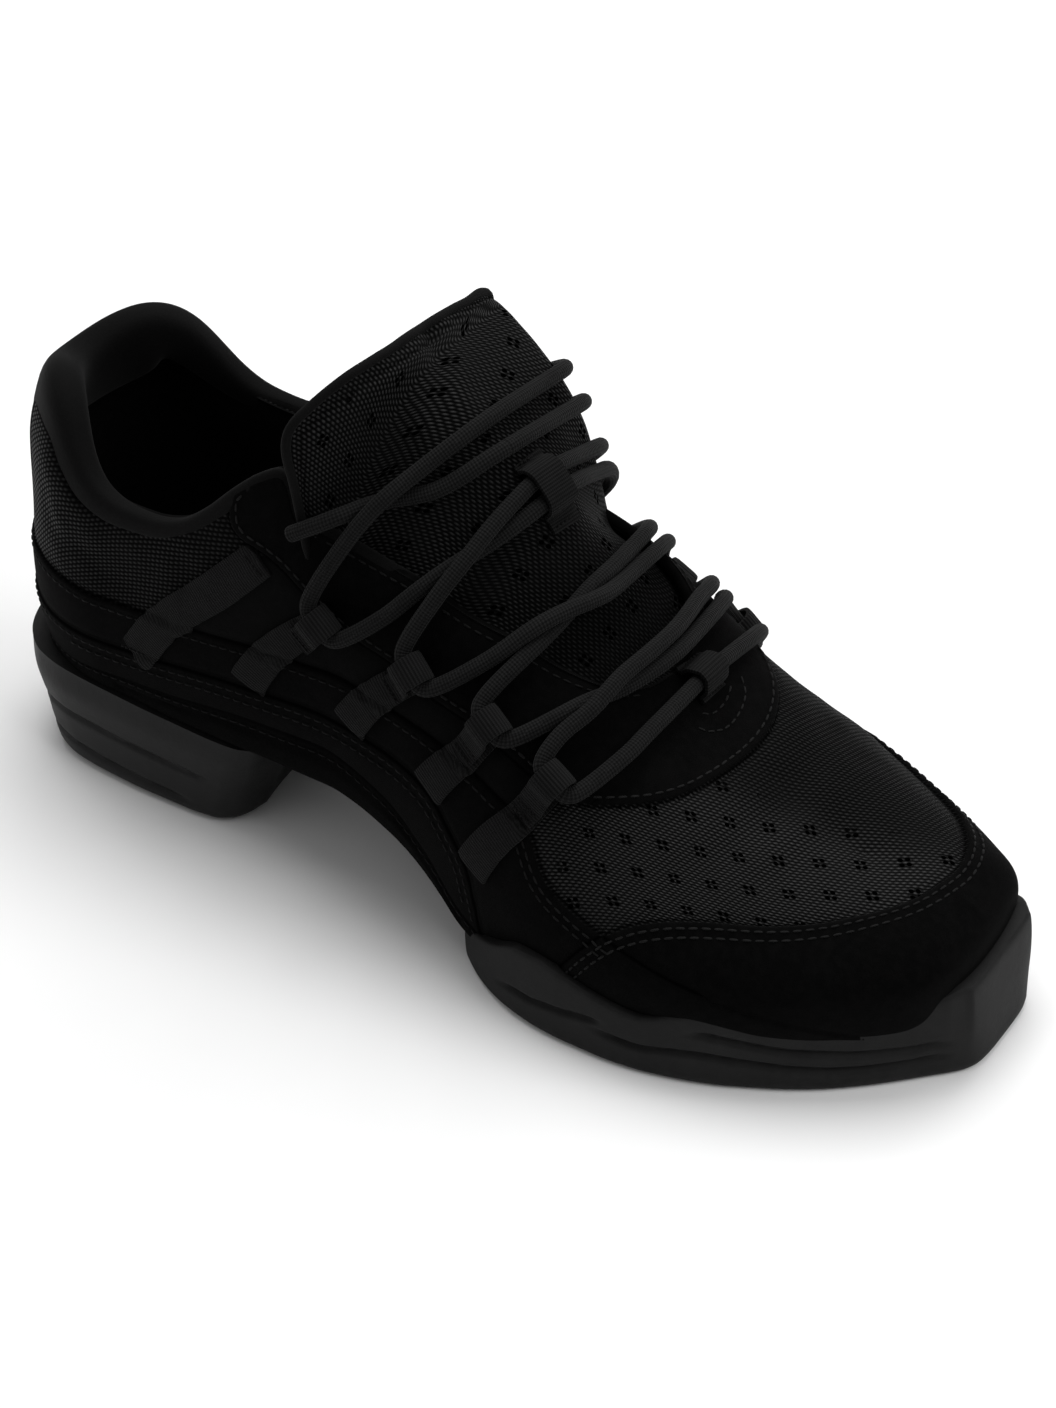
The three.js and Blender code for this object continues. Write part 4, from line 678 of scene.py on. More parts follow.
def cloth(name, lo, hi, spec=0.08, rough=0.85, grain=0.5, bump=0.2, sheen=0.02, big=14.0):
    N = Net(name)
    a, b = N.noise(grain, 4.0, 0.7), N.noise(big, 3.0)
    f = N.math("MULTIPLY_ADD", a, 0.7, N.math("MULTIPLY", b, 0.5))
    col = N.mix(N.ramp(f, 0.4, 0.85), g3(lo), g3(hi, 1.02))
    return N.finish(col, N.math("MULTIPLY_ADD", b, 0.2, rough - 0.1), N.bump(a, bump, 0.8), spec=spec, sheen=sheen)


def rubber(name, lo, hi, rough, spec):
    N = Net(name)
    fine, mid_n, big = N.noise(0.5, 4.0, 0.65), N.noise(3.5, 4.0, 0.6), N.noise(30.0, 3.0)
    col = N.mix(N.ramp(mid_n, 0.3, 0.75), g3(lo), g3(hi))
    col = N.mix(N.math("MULTIPLY", N.ramp(big, 0.5, 0.8), 0.35), col, g3(hi * 1.35, 1.01))
    scuff = N.noise(1.1, 6.0, 0.75)
    col = N.mix(N.math("MULTIPLY", N.ramp(scuff, 0.64, 0.78), 0.4), col, g3(hi * 1.7, 1.02))
    # dust and wear near the floor
    s = N.t.nodes.new("ShaderNodeSeparateXYZ")
    N.t.links.new(N.obj(), s.inputs[0])
    low_edge = N.math("MULTIPLY", N.ramp(s.outputs[2], 0.004, 0.0005), N.ramp(mid_n, 0.35, 0.7))
    col = N.mix(N.math("MULTIPLY", low_edge, 0.5), col, g3(hi * 1.9, 1.03))
    n1 = N.bump(fine, 0.10, 0.7)
    n2 = N.bump(mid_n, 0.25, 0.35, n1)
    return N.finish(col, N.math("MULTIPLY_ADD", mid_n, 0.22, rough - 0.11), n2, spec=spec)


def webbing(name="webbing"):
    """Ribbed tape: u runs along it, v across, in millimetres."""
    N = Net(name)
    u, v = N.uv()
    ribs = N.math("MULTIPLY_ADD", N.math("SINE", N.math("MULTIPLY", u, 2 * pi / 0.75)), 0.5, 0.5)
    warp = N.math("MULTIPLY_ADD", N.math("SINE", N.math("MULTIPLY", v, 2 * pi / 0.62)), 0.5, 0.5)
    fine, mott = N.noise(0.4, 4.0, 0.7), N.noise(3.0, 3.0)
    h = N.math("MULTIPLY_ADD", ribs, 0.7, N.math("MULTIPLY_ADD", warp, 0.25, N.math("MULTIPLY", fine, 0.4)))
    # painted shade and highlight: the tape is coloured darker in its rib grooves and lighter on the crests, with a
    # random mottle
    f = N.math("MULTIPLY", h, N.math("MULTIPLY_ADD", mott, 0.7, 0.55))
    col = N.mix(N.ramp(f, 0.2, 1.05), g3(0.0080), g3(0.0300))
    return N.finish(col, N.math("MULTIPLY_ADD", fine, 0.2, 0.7), N.bump(h, 0.22, 0.8), spec=0.12, sheen=0.04)


def braid(name="braid"):
    """Round braided cord: u round it, v along it, in millimetres."""
    N = Net(name)
    u, v = N.uv()
    k1, k2 = 2 * pi / 1.65, 2 * pi / 1.5
    a = N.math("SINE", N.math("ADD", N.math("MULTIPLY", u, k1), N.math("MULTIPLY", v, k2)))
    b = N.math("SINE", N.math("SUBTRACT", N.math("MULTIPLY", u, k1), N.math("MULTIPLY", v, k2)))
    h = N.math("MULTIPLY_ADD", N.math("MULTIPLY", a, b), 0.5, 0.5)
    fine, mott = N.noise(0.3, 4.0, 0.7), N.noise(5.0, 3.0)
    h2 = N.math("MULTIPLY_ADD", fine, 0.35, h)
    # painted shade and highlight: the cord is coloured darker in its braid grooves and lighter on the crests, with a
    # random mottle
    f = N.math("MULTIPLY", h2, N.math("MULTIPLY_ADD", mott, 0.6, 0.6))
    col = N.mix(N.ramp(f, 0.2, 1.1), g3(0.0085), g3(0.0370))
    return N.finish(col, N.math("MULTIPLY_ADD", fine, 0.2, 0.68), N.bump(h2, 0.24, 0.9), spec=0.14, sheen=0.05)


def tongue_material():
    N = Net("tongue")
    u, v = N.uv()
    w = weave(N, u, v, 1.02, math.radians(112))
    hole = N.math("MULTIPLY", holes(N, u, v, 11.6, math.radians(30)), N.attr("perf"))
    fine, mott, big = N.noise(0.35, 4.0, 0.7), N.noise(2.2, 4.0), N.noise(18.0, 3.0)
    # painted light on the tongue's mesh: painted brighter and shinier near its top, darker and duller lower down, with
    # painted glints on the thread tops and painted shade in the gaps
    place = N.t.nodes.new("ShaderNodeSeparateXYZ")
    N.t.links.new(N.obj(), place.inputs[0])
    tongue_painted_shade = N.ramp(place.outputs[0], -0.015, 0.025)
    col = N.mix(N.ramp(w, 0.20, 0.90), g3(0.0040), N.mix(tongue_painted_shade, g3(0.062), g3(0.021)))
    col = N.mix(N.math("MULTIPLY", N.ramp(big, 0.45, 0.7), 0.4), col, g3(0.014))
    col = N.mix(hole, col, g3(0.0008))
    n1 = N.bump(N.math("MULTIPLY_ADD", fine, 0.2, w), 0.28, 0.8)
    n2 = N.bump(N.math("SUBTRACT", 1.0, hole), 0.5, 0.9, n1)
    shut = N.math("SUBTRACT", 1.0, hole)
    return N.finish(col, N.math("MULTIPLY_ADD", w, -0.3, 0.78), n2, spec=N.math("MULTIPLY", shut, N.math("MULTIPLY", w, N.fmix(tongue_painted_shade, 0.26, 0.12))), sheen=N.math("MULTIPLY", shut, 0.04))


MAT = {
    "upper": upper_material(),
    "tongue": tongue_material(),
    "lining": cloth("lining", 0.0045, 0.0095, spec=0.04, grain=0.6),
    "collar": cloth("collar_cloth", 0.0085, 0.0140, spec=0.07, rough=0.75, grain=0.45, bump=0.16, sheen=0.06),
    "suede": cloth("midsole_suede", 0.0030, 0.0075, spec=0.04, rough=0.9, grain=0.7, bump=0.3, sheen=0.02),
    "footbed": cloth("footbed", 0.0040, 0.0080, spec=0.03, grain=0.8),
    "front": rubber("sole_front", 0.0275, 0.0415, 0.62, 0.25),
    "heel": rubber("sole_heel", 0.028, 0.041, 0.50, 0.32),
    "webbing": webbing(),
    "braid": braid(),
    "thread": cloth("thread", 0.020, 0.040, spec=0.12, rough=0.6, grain=0.5, bump=0.1),
    "thread_dark": cloth("thread_dark", 0.012, 0.026, spec=0.10, rough=0.6, grain=0.5, bump=0.1),
    "piping": cloth("piping", 0.0090, 0.0160, spec=0.08, rough=0.7, grain=0.4, bump=0.14, sheen=0.05),
}


# ------------------------------------------------------------------ tables of the other parts
CUP = np.array([[139.0, -30.0, 8.2], [141.5, -37.0, 8.6], [148.0, -43.6, 11.5], [156.0, -48.6, 15.5], [164.0, -51.6, 20.0], [171.0, -53.0, 20.6], [178.0, -53.6, 19.4], [187.0, -53.6, 17.2], [196.0, -52.8, 15.8], [205.0, -50.8, 18.6], [214.0, -47.8, 21.4], [222.0, -44.0, 21.2], [230.0, -39.6, 19.8], [237.0, -34.8, 18.8], [244.0, -29.0, 18.0], [250.0, -23.2, 19.5], [255.0, -18.0, 23.0], [259.5, -13.8, 24.0], [262.0, -12.4, 24.0], [262.0, 2.0, 24.6], [262.0, 16.2, 25.2], [259.5, 18.0, 25.2], [256.0, 20.6, 24.6], [250.0, 25.2, 21.0], [244.0, 30.2, 18.4], [237.0, 35.2, 18.0], [230.0, 39.5, 19.0], [221.0, 43.6, 20.6], [214.0, 45.6, 21.0], [205.0, 47.4, 18.0], [196.0, 48.2, 15.8], [187.0, 48.6, 17.2], [178.0, 48.4, 19.4], [171.0, 47.4, 20.6], [164.0, 45.6, 20.0], [156.0, 42.4, 15.5], [148.0, 38.2, 11.5], [143.5, 33.0, 8.6], [142.0, 27.0, 8.2], [140.0, 14.0, 8.2], [138.8, 0.0, 8.2], [138.2, -15.0, 8.2]])
HEEL = np.array([[0.00, 7.2, 71.5, 31.0], [0.06, 5.4, 73.0, 32.6], [0.40, 2.6, 76.0, 33.2], [0.75, -0.4, 79.5, 33.2], [1.00, -2.0, 82.0, 32.4]])
PLAN = np.array([[0.00, 0.00], [0.008, 0.26], [0.035, 0.50], [0.085, 0.70], [0.16, 0.85], [0.28, 0.94], [0.44, 0.98], [0.62, 1.0], [0.78, 1.0], [0.88, 0.985], [0.95, 0.91], [0.985, 0.78], [1.0, 0.62]])
BOARD = np.array([[0, 35.0, 27.9], [20, 35.3, 27.9], [40, 37.3, 27.5], [60, 39.2, 26.5], [80, 41.0, 25.4], [90, 41.4, 25.0], [100, 41.2, 24.8], [109, 40.2, 23.3], [116, 38.8, 21.6], [122, 37.2, 20.0], [129, 34.8, 17.6], [137, 31.6, 13.2], [144, 28.0, 9.0], [150, 24.8, 8.0], [156, 21.6, 7.8], [165, 17.5, 7.7], [180, 13.2, 7.7], [195, 11.4, 7.7], [210, 11.2, 7.7], [225, 11.7, 8.2], [240, 12.6, 9.2], [254, 14.0, 10.7]])
LOOPS = np.array([[81.0, 101.8, 50.3, 74.1, 50.0, 72.0], [110.4, 127.7, 51.1, 71.0, 46.5, 65.5], [135.7, 148.4, 47.2, 64.8, 38.0, 55.5], [150.4, 164.8, 32.6, 56.7, 26.0, 45.5]])
ROUTE = {
    "1": [[166.9, -39.7, 61.5], [168.9, -40.0, 60.3], [171.0, -40.3, 59.1], [176.7, -25.1, 62.6], [177.7, -16.4, 64.1], [178.3, -4.5, 64.9], [178.5, 4.4, 65.2], [178.7, 13.8, 64.7], [178.1, 29.2, 61.6], [176.0, 37.4, 57.5], [170.6, 44.8, 48.2], [169.0, 48.1, 44.5], [167.6, 47.7, 46.3], [166.1, 47.2, 48.2]],
    "2": [[167.4, -39.8, 61.2], [165.4, -39.5, 62.4], [163.4, -39.2, 63.5], [163.6, -31.9, 68.2], [166.0, -23.3, 70.4], [168.2, -14.6, 72.3], [170.4, -5.7, 73.9], [171.0, 6.5, 74.6], [168.0, 22.1, 73.2], [164.8, 33.3, 69.2], [152.4, 44.8, 55.3], [150.7, 44.2, 56.8], [149.0, 43.7, 58.3]],
    "3": [[150.0, -38.8, 69.1], [151.9, -39.3, 67.9], [153.8, -39.8, 66.7], [162.9, -28.9, 69.6], [168.7, -14.2, 71.8], [172.5, 2.2, 72.4], [172.1, 12.7, 71.2], [171.0, 23.2, 69.7], [168.6, 33.2, 66.6], [163.0, 41.9, 58.2], [163.7, 46.4, 51.3], [165.1, 46.9, 49.5], [166.5, 47.3, 47.7]],
    "4": [[150.5, -38.9, 68.8], [148.6, -38.4, 70.1], [146.6, -37.9, 71.3], [151.6, -22.7, 82.1], [154.4, -6.8, 84.7], [155.2, 3.6, 85.4], [154.3, 14.1, 85.1], [152.8, 24.3, 84.4], [146.5, 34.3, 77.5], [131.7, 39.9, 65.0], [130.0, 39.4, 66.6], [128.3, 38.9, 68.2]],
    "5": [[128.8, -37.6, 74.5], [130.6, -38.1, 73.0], [132.3, -38.7, 71.5], [144.4, -29.6, 78.3], [150.9, -21.1, 83.6], [154.5, -7.4, 84.7], [155.6, 0.3, 84.5], [156.1, 11.5, 83.5], [156.0, 22.3, 82.3], [153.1, 32.8, 77.2], [147.9, 39.5, 69.1], [146.0, 42.8, 61.0], [147.7, 43.3, 59.5], [149.4, 43.8, 58.0]],
    "6": [[129.3, -37.7, 74.1], [127.5, -37.1, 75.6], [125.8, -36.6, 77.0], [130.0, -26.7, 90.6], [133.4, -17.5, 97.5], [136.6, -7.5, 104.0], [138.2, 0.6, 107.1], [138.5, 9.5, 106.3], [137.6, 21.0, 102.5], [136.2, 29.4, 99.2], [133.0, 35.9, 94.6], [128.2, 39.2, 88.7], [117.4, 38.1, 77.7], [106.6, 36.0, 71.1], [104.9, 35.9, 72.7], [103.2, 35.7, 74.4]],
    "7": [[103.3, -36.6, 76.7], [105.1, -36.8, 75.2], [106.9, -36.9, 73.7], [118.3, -32.6, 81.8], [124.0, -29.0, 87.9], [129.4, -24.3, 93.5], [134.1, -16.5, 97.6], [138.5, -8.2, 101.4], [141.4, 0.5, 103.6], [141.4, 12.1, 101.6], [139.7, 23.2, 96.8], [137.1, 33.5, 91.2], [133.4, 39.4, 83.1], [125.4, 38.1, 70.9], [127.1, 38.6, 69.3], [128.7, 39.1, 67.8]],
    "8": [[103.8, -36.7, 76.3], [102.0, -36.5, 77.9], [100.2, -36.4, 79.4], [106.0, -29.8, 95.2], [111.2, -24.1, 104.5], [117.2, -14.9, 111.1], [121.9, -7.3, 115.8], [125.5, 5.4, 118.6], [126.0, 19.1, 117.3], [125.1, 33.5, 114.7]],
    "far_end": [[125.0, 34.1, 114.5], [111.9, 41.0, 103.6], [103.8, 38.3, 95.8], [90.4, 35.4, 84.3]],
    "near_end": [[93.5, -32.5, 95.1], [103.9, -29.0, 101.2], [110.2, -20.5, 103.0], [121.2, -14.7, 106.8], [129.5, -4.6, 113.1]],
    "9": [[129.7, -4.1, 113.2], [131.6, 4.1, 113.8], [132.1, 18.3, 111.8], [130.5, 31.9, 107.9], [122.9, 40.1, 100.1], [117.6, 42.3, 95.1], [110.2, 39.8, 89.2], [102.5, 36.7, 82.9], [100.2, 35.5, 77.2], [101.9, 35.6, 75.5], [103.6, 35.8, 73.9]],
}
TONGUE = np.array([[[184, -17, 50.8], [184, -14.5, 51.8], [184, -12, 52.4], [184, -8.2, 52.4], [184, -4.4, 52.4], [184, -0.6, 52.4], [184, 3.2, 52.3], [184, 7, 52.4], [184, 10.9, 52.4], [184, 14.7, 52.4], [184, 18.5, 52.5], [184, 21, 51.8], [184, 23.5, 50.6]], [[178, -19, 54], [178, -16.5, 55.3], [178, -14, 56.1], [178, -9.7, 56.4], [178, -5.3, 56.6], [178, -1, 56.7], [178, 3.4, 56.7], [178, 7.9, 56.7], [178, 12.5, 56.6], [178, 17, 56.4], [178, 21.5, 56], [178, 24, 55], [178, 26.5, 53.5]], [[171.5, -20.5, 58.1], [171.5, -18, 59.5], [171.5, -15.5, 60.6], [171.5, -10.7, 61.2], [171.5, -5.9, 61.7], [171.5, -1.2, 62], [171.5, 3.6, 62.1], [171.5, 8.4, 62], [171.5, 13.3, 61.7], [171.5, 18.1, 61.3], [171.5, 23, 60.7], [171.5, 25.5, 59.4], [171.5, 28, 57.6]], [[165, -22.5, 61.9], [165, -20, 63.8], [165, -17.5, 65], [165, -12.2, 65], [165, -6.8, 65], [165, -1.5, 65], [165, 3.8, 65], [165, 9.2, 65], [165, 14.6, 65], [165, 20.1, 65], [165, 25.5, 65], [165, 28, 63.3], [165, 30.5, 60.6]], [[158, -24.8, 65.4], [158, -22.3, 67.7], [158, -19.8, 69.6], [158, -13.9, 72.1], [158, -8, 74.2], [158, -2.1, 75.5], [158, 3.8, 76], [158, 9.8, 75.6], [158, 15.7, 74.4], [158, 21.7, 72.4], [158, 27.6, 69.6], [158, 30.1, 66.7], [158, 32.6, 62.8]], [[150, -26.5, 68.6], [150, -24, 71.5], [150, -21.5, 74], [150, -15.3, 78.9], [150, -9, 83.2], [150, -2.8, 86.3], [150, 3.5, 87.5], [150, 9.8, 86.4], [150, 16.1, 83.4], [150, 22.5, 78.9], [150, 28.8, 73.3], [150, 31.1, 69.7], [150, 33.4, 65.3]], [[141, -28.2, 70.1], [141, -25.7, 74], [141, -23.2, 77.4], [141.2, -16.6, 84.8], [141.5, -10.1, 91.6], [141.8, -3.6, 96.6], [142, 3, 98.5], [141.8, 9.7, 96.6], [141.5, 16.4, 91.4], [141.2, 23.1, 83.6], [141, 29.8, 74.1], [141, 31.4, 70.5], [141, 33, 66.1]], [[131, -29.4, 72.4], [131, -26.9, 76.6], [131, -24.4, 80.4], [131.3, -17.7, 89.7], [132, -10.9, 98.6], [132.7, -4.2, 105.4], [133, 2.5, 108], [133, 9.9, 107.4], [133, 17.3, 105.5], [133, 24.6, 101.8], [133, 32, 96], [132.6, 33, 93.1], [132, 34, 89]], [[121, -29.6, 75], [121, -27.3, 79.2], [121, -25, 83], [121.5, -18.3, 93.8], [122.5, -11.5, 104.5], [123.5, -4.8, 112.6], [124, 2, 115.8], [124, 9.9, 115.7], [123.8, 17.8, 115.2], [123.5, 25.6, 114], [123, 33.5, 112], [122.6, 34.5, 109.3], [122, 35.5, 105]], [[111, -29.5, 74.7], [111, -27.8, 78.9], [111, -26, 82.7], [111.8, -19, 96.2], [113.5, -12, 108.9], [115.2, -5, 118.3], [116, 2, 122], [115.9, 9.9, 122], [115.6, 17.9, 121.8], [115, 25.8, 121.3], [114, 33.8, 120.5], [113.6, 34.8, 117.8], [113, 35.8, 113.5]], [[101.5, -30.4, 73], [101.5, -29.1, 77.3], [101.5, -27.8, 81], [102.8, -20.5, 97.6], [105.8, -13.2, 112.4], [108.7, -5.8, 122.9], [110, 1.5, 127], [109.9, 9.5, 127], [109.7, 17.6, 126.7], [109.2, 25.6, 126.2], [108.5, 33.6, 125.3], [108.1, 34.6, 122.6], [107.5, 35.6, 118.3]], [[94, -29.8, 105], [94.3, -29.5, 107.4], [94.5, -29.2, 109], [99, -21.5, 119.5], [102.8, -13.8, 125.9], [105.5, -6.2, 129.1], [106.5, 1.5, 130], [106.5, 9.4, 129.9], [106.4, 17.4, 129.5], [106.2, 25.3, 128.7], [105.8, 33.3, 127.2], [105.4, 34.3, 124.5], [104.8, 35.3, 120.2]], [[91.5, -30.6, 114], [91.8, -30.3, 116.4], [92, -30, 118], [96.6, -22.1, 125.1], [100.6, -14.3, 129.2], [103.4, -6.4, 131], [104.5, 1.5, 131.5], [104.6, 9.4, 131.4], [104.6, 17.3, 130.9], [104.7, 25.1, 129.9], [104.7, 33, 128], [104.3, 34, 125.3], [103.7, 35, 121]]])


# ------------------------------------------------------------------ upper
def overlay_height(P, D):
    fox, low, cap, eye = [smooth(-0.75, 0.75, D[k]) for k in ("fox", "low", "cap", "eye")]
    mid = smooth(-0.7, 0.7, D["smooth"]) * (1 - fox) * (1 - eye)
    h = -0.45 + np.maximum(np.maximum(0.85 * fox, 0.95 * eye), 0.4 * mid)
    h += 0.45 * low
    h += cap * (0.95 - 0.45 * fox)
    for k, depth in (("fox", 0.32), ("eye", 0.34), ("cap", 0.34), ("low", 0.30)):
        h -= depth * np.exp(-(((D[k] + 1.0) / 0.85) ** 2))
    for k, at_mm, depth in (("cap", 2.5, 0.12), ("eye", 2.2, 0.12), ("low", 2.6, 0.14), ("fox", 2.4, 0.10)):
        h -= depth * np.exp(-(((D[k] - at_mm) / 1.3) ** 2))
    # padded quarter under the collar, its seam, and soft hollows
    x = P[:, 0]
    pad = smooth(96, 62, x) * (1 - eye) * (1 - fox)
    h += 1.0 * pad * np.exp(-(((D["rim"] - roll_w - 8.0) / 8.0) ** 2))
    h -= 0.55 * pad * np.exp(-(((D["rim"] - roll_w) / 1.1) ** 2))
    h -= 1.1 * smooth(-0.3, 1.2, D["roll"]) * smooth(124, 108, x)
    return h


CREASES = [  # soft troughs: middle line, depth, width
    ([(24, -30, 72), (36, -32, 69), (50, -33, 70), (60, -33, 74)], 0.55, 4.5),
    ([(30, -32, 64), (44, -33, 62.5), (54, -33.5, 63)], 0.35, 3.5),
    ([(24, 30, 72), (36, 32, 69), (50, 32, 70), (60, 32, 74)], 0.55, 4.5),
    ([(198, -36, 42), (204, -18, 48), (205, 2, 48), (203, 20, 47), (198, 34, 42)], 0.40, 4.0),
    ([(212, -28, 40), (216, -10, 43), (217, 6, 43), (214, 24, 41)], 0.25, 3.5),
    ([(96, -32, 66), (104, -33, 62.5), (112, -34, 60)], 0.35, 3.0),
]


def crease_height(P):
    h = np.zeros(len(P))
    for pts, depth, width in CREASES:
        line = resample(on_form(pts, 2.0)[0], 2.0)
        kd = KDTree(len(line))
        for i, p in enumerate(line):
            kd.insert(p, i)
        kd.balance()
        d = np.full(len(P), 1e3)
        lo, hi = line.min(0) - 16, line.max(0) + 16
        near = np.where(np.all((P > lo) & (P < hi), 1))[0]
        for i in near:
            d[i] = kd.find(P[i])[2]
        ends = np.minimum(np.linalg.norm(P - line[0], axis=1), np.linalg.norm(P - line[-1], axis=1))
        g = np.exp(-((d / width) ** 2)) - 0.45 * np.exp(-(((d - 2.0 * width) / width) ** 2))
        h -= depth * g * smooth(0, 8, ends)
    return h


H = overlay_height(flatP, D)
H += crease_height(flatP) * (1 - 0.5 * smooth(-0.7, 0.7, D["fox"]))
mesh_part = (1 - smooth(-0.5, 0.5, np.maximum(np.maximum(D["fox"], D["eye"]), D["cap"])))
H += wobble(flatP, 21.0) * (0.22 + 0.25 * mesh_part) + wobble(flatP, 7.0, 9.0) * (0.06 + 0.05 * mesh_part)


def heel_lift(P):
    """The collar stands higher round the back of the heel than the plain form."""
    x, z = P[..., 0], P[..., 2]
    back = smooth(20, 5, x)
    Q = np.array(P, float)
    Q[..., 2] += smooth(58, 90, z) * (9.0 * back + 6.0 * smooth(36, 16, x) * (1 - back))
    return Q


OUT = heel_lift(flatP + flatN * H[:, None])
OUTN = flatN


def inner_surface():
    verts, ends = [], {}
    for k in (-1, 1):
        A, L = angle_rows(k, EDGE, NA_IN)
        S = np.repeat(S_COL[:, None], NA_IN, 1)
        P = form(S, A, k)
        N = tangents(S, A, k)[2]
        N[0], N[-1] = N[0] * [1, 0, 1], N[-1] * [1, 0, 1]
        N = unit(N)
        closed = A[:, -1] > 1.9999
        N[closed, -1] = N0[k][closed, -1]
        arc = column_arc(k, A)
        d = arc - arc[:, -1:] + EDGE
        thick = WALL_MM + 3.2 * smooth(34, 7, d) * smooth(100, 70, P[..., 0]) * (~closed)[:, None]
        thick = thick + 0.35 * (wobble(P.reshape(-1, 3), 14.0, 4.0).reshape(d.shape)) * smooth(110, 90, P[..., 0])
        q = P - N * thick[..., None]
        verts.append(heel_lift(q))
    return verts


WALL_MM = 2.4
IN = inner_surface()
verts = [OUT]
inner0 = len(OUT)
verts.append(IN[0].reshape(-1, 3)), verts.append(IN[1].reshape(-1, 3))
quads = [base_faces]
Qi = grid_quads(n_s, NA_IN)
quads.append(Qi[:, ::-1] + inner0)
quads.append(Qi + inner0 + n_s * NA_IN)
rim0 = inner0 + 2 * n_s * NA_IN
NR = 5
rim_rows, rim_faces = [], []
for k, (o0, i0) in {-1: (0, inner0), 1: (n_s * NA_OUT, inner0 + n_s * NA_IN)}.items():
    o = OUT[[o0 + i * NA_OUT + NA_OUT - 1 for i in range(n_s)]]
    q = IN[0 if k < 0 else 1][:, -1]
    n = N0[k][:, -1]
    a_top = A_OUT[k][:, -1]
    _, pa, _ = tangents(S_COL, a_top, k)
    u = pa.copy()
    u[n_back] = [-1.0, 0.0, 0.35]
    for i in range(max(0, n_back - 6), n_back):
        f = (i - (n_back - 6)) / 6
        u[i] = unit(u[i] * (1 - f) + np.array([-1.0, 0, 0.35]) * f)
    u[0] = u[0] * [1, 0, 1]
    u = unit(u)
    c, half = (o + q) / 2, (o - q) / 2
    rows_k = []
    for r in range(1, NR):
        th = pi * r / NR
        rows_k.append(c + half * math.cos(th) + u * (EDGE * math.sin(th)))
    ids = [[o0 + i * NA_OUT + NA_OUT - 1] + [rim0 + len(rim_rows) * 0 + 0] * 0 for i in range(n_s)]
    start = rim0 + sum(len(r) for r in rim_rows)
    rim_rows.append(np.stack(rows_k, 1).reshape(-1, 3))
    for i in range(n_back):
        for r in range(NR):
            def vid(col, rr):
                if rr == 0:
                    return o0 + col * NA_OUT + NA_OUT - 1
                if rr == NR:
                    return i0 + col * NA_IN + NA_IN - 1
                return start + col * (NR - 1) + rr - 1
            f = [vid(i, r), vid(i + 1, r), vid(i + 1, r + 1), vid(i, r + 1)]
            rim_faces.append(f if k < 0 else f[::-1])
    for i in range(n_s - 1):
        f = [i0 + i * NA_IN, i0 + (i + 1) * NA_IN, o0 + (i + 1) * NA_OUT, o0 + i * NA_OUT]
        rim_faces.append(f if k < 0 else f[::-1])
quads.append(np.array(rim_faces))
verts += rim_rows
V = np.concatenate(verts)
Q = np.concatenate(quads)
n_extra = len(V) - len(OUT)
attrs = {}
for k in ("fox", "eye", "cap", "low", "smooth", "roll"):
    fill = {"eye": 5.0 if k == "eye" else -30.0}.get(k, -30.0)
    attrs[k] = np.r_[D[k], np.full(n_extra, fill)]
# the inside is lining cloth, and the rolled edge takes its neighbour's finish
attrs["roll"][len(OUT):rim0] = 30.0
attrs["eye"][len(OUT):rim0] = -30.0
# the collar cloth runs down the back of the heel as a tab
attrs["roll"][:len(OUT)] = np.maximum(attrs["roll"][:len(OUT)], np.minimum(flatP[:, 2] - 73.5, (9.5 - flatP[:, 0]) * 1.2))
attrs["vamp"] = np.r_[smooth(170, 174, flatP[:, 0]) * smooth(7, 2, flatP[:, 1] + 8 - (flatP[:, 0] - 203) * 0.47), np.zeros(n_extra)]
UV = np.zeros((len(V), 2))
UV[: n_s * NA_OUT] = np.stack([flatP[: n_s * NA_OUT, 0], -ARC[-1].ravel()], -1)
UV[n_s * NA_OUT: len(OUT)] = np.stack([flatP[n_s * NA_OUT:, 0], ARC[1].ravel()], -1)
front = flatP[:, 0] > 158.0
fx, fy, fz = flatP[front].T
UV[: len(OUT)][front] = np.stack([fx - 0.35 * (fz - 60.0), fy * (1 + 0.25 * (fy / 32.0) ** 2)], -1)
UV[len(OUT):] = V[len(OUT):, [0, 2]]
upper = make("upper_shell", V, Q, attrs=attrs, uv=UV, mats=[MAT["upper"]], sharp=0)
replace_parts(upper, "upper"), upper
SURF = tree(OUT, base_faces.tolist())


def surf(points):
    q, n = snap(SURF, points)
    return q, out_normals(q, n)


def on_surface(line, shift, normals, lift=0.0, smooth_n=2):
    """A line beside another on the finished upper: shift to its n x t side."""
    t = unit(np.gradient(line, axis=0))
    w = np.cross(normals, t)
    q, n = surf(line + w * shift)
    for _ in range(smooth_n):
        q[1:-1] = (q[:-2] + 2 * q[1:-1] + q[2:]) / 4
    q, n = surf(q)
    for _ in range(3):
        n[1:-1] = unit(n[:-2] + n[1:-1] + n[2:])
    return q + n * lift, n


# ------------------------------------------------------------------ collar pad and binding
def rim_path():
    pts, nn, uu = [], [], []
    X_END = 118.0
    for k, order in ((-1, -1), (1, 1)):
        ss = np.linspace(0.0, float(share_inv(X_END / LAST)), 260)
        if order < 0:
            ss = ss[::-1]
        else:
            ss = ss[1:]
        for s in ss:
            a = float(rim_angle(LAST * float(share(s)), k))
            p = form(s, a, k)
            _, pa, n = tangents(s, a, k)
            if s < 0.004:
                n = unit(n * [1, 0, 1])
                pa = unit(pa * [1, 0, 1])
            pts.append(p), nn.append(n), uu.append(-pa)
    return np.array(pts), np.array(nn), np.array(uu)


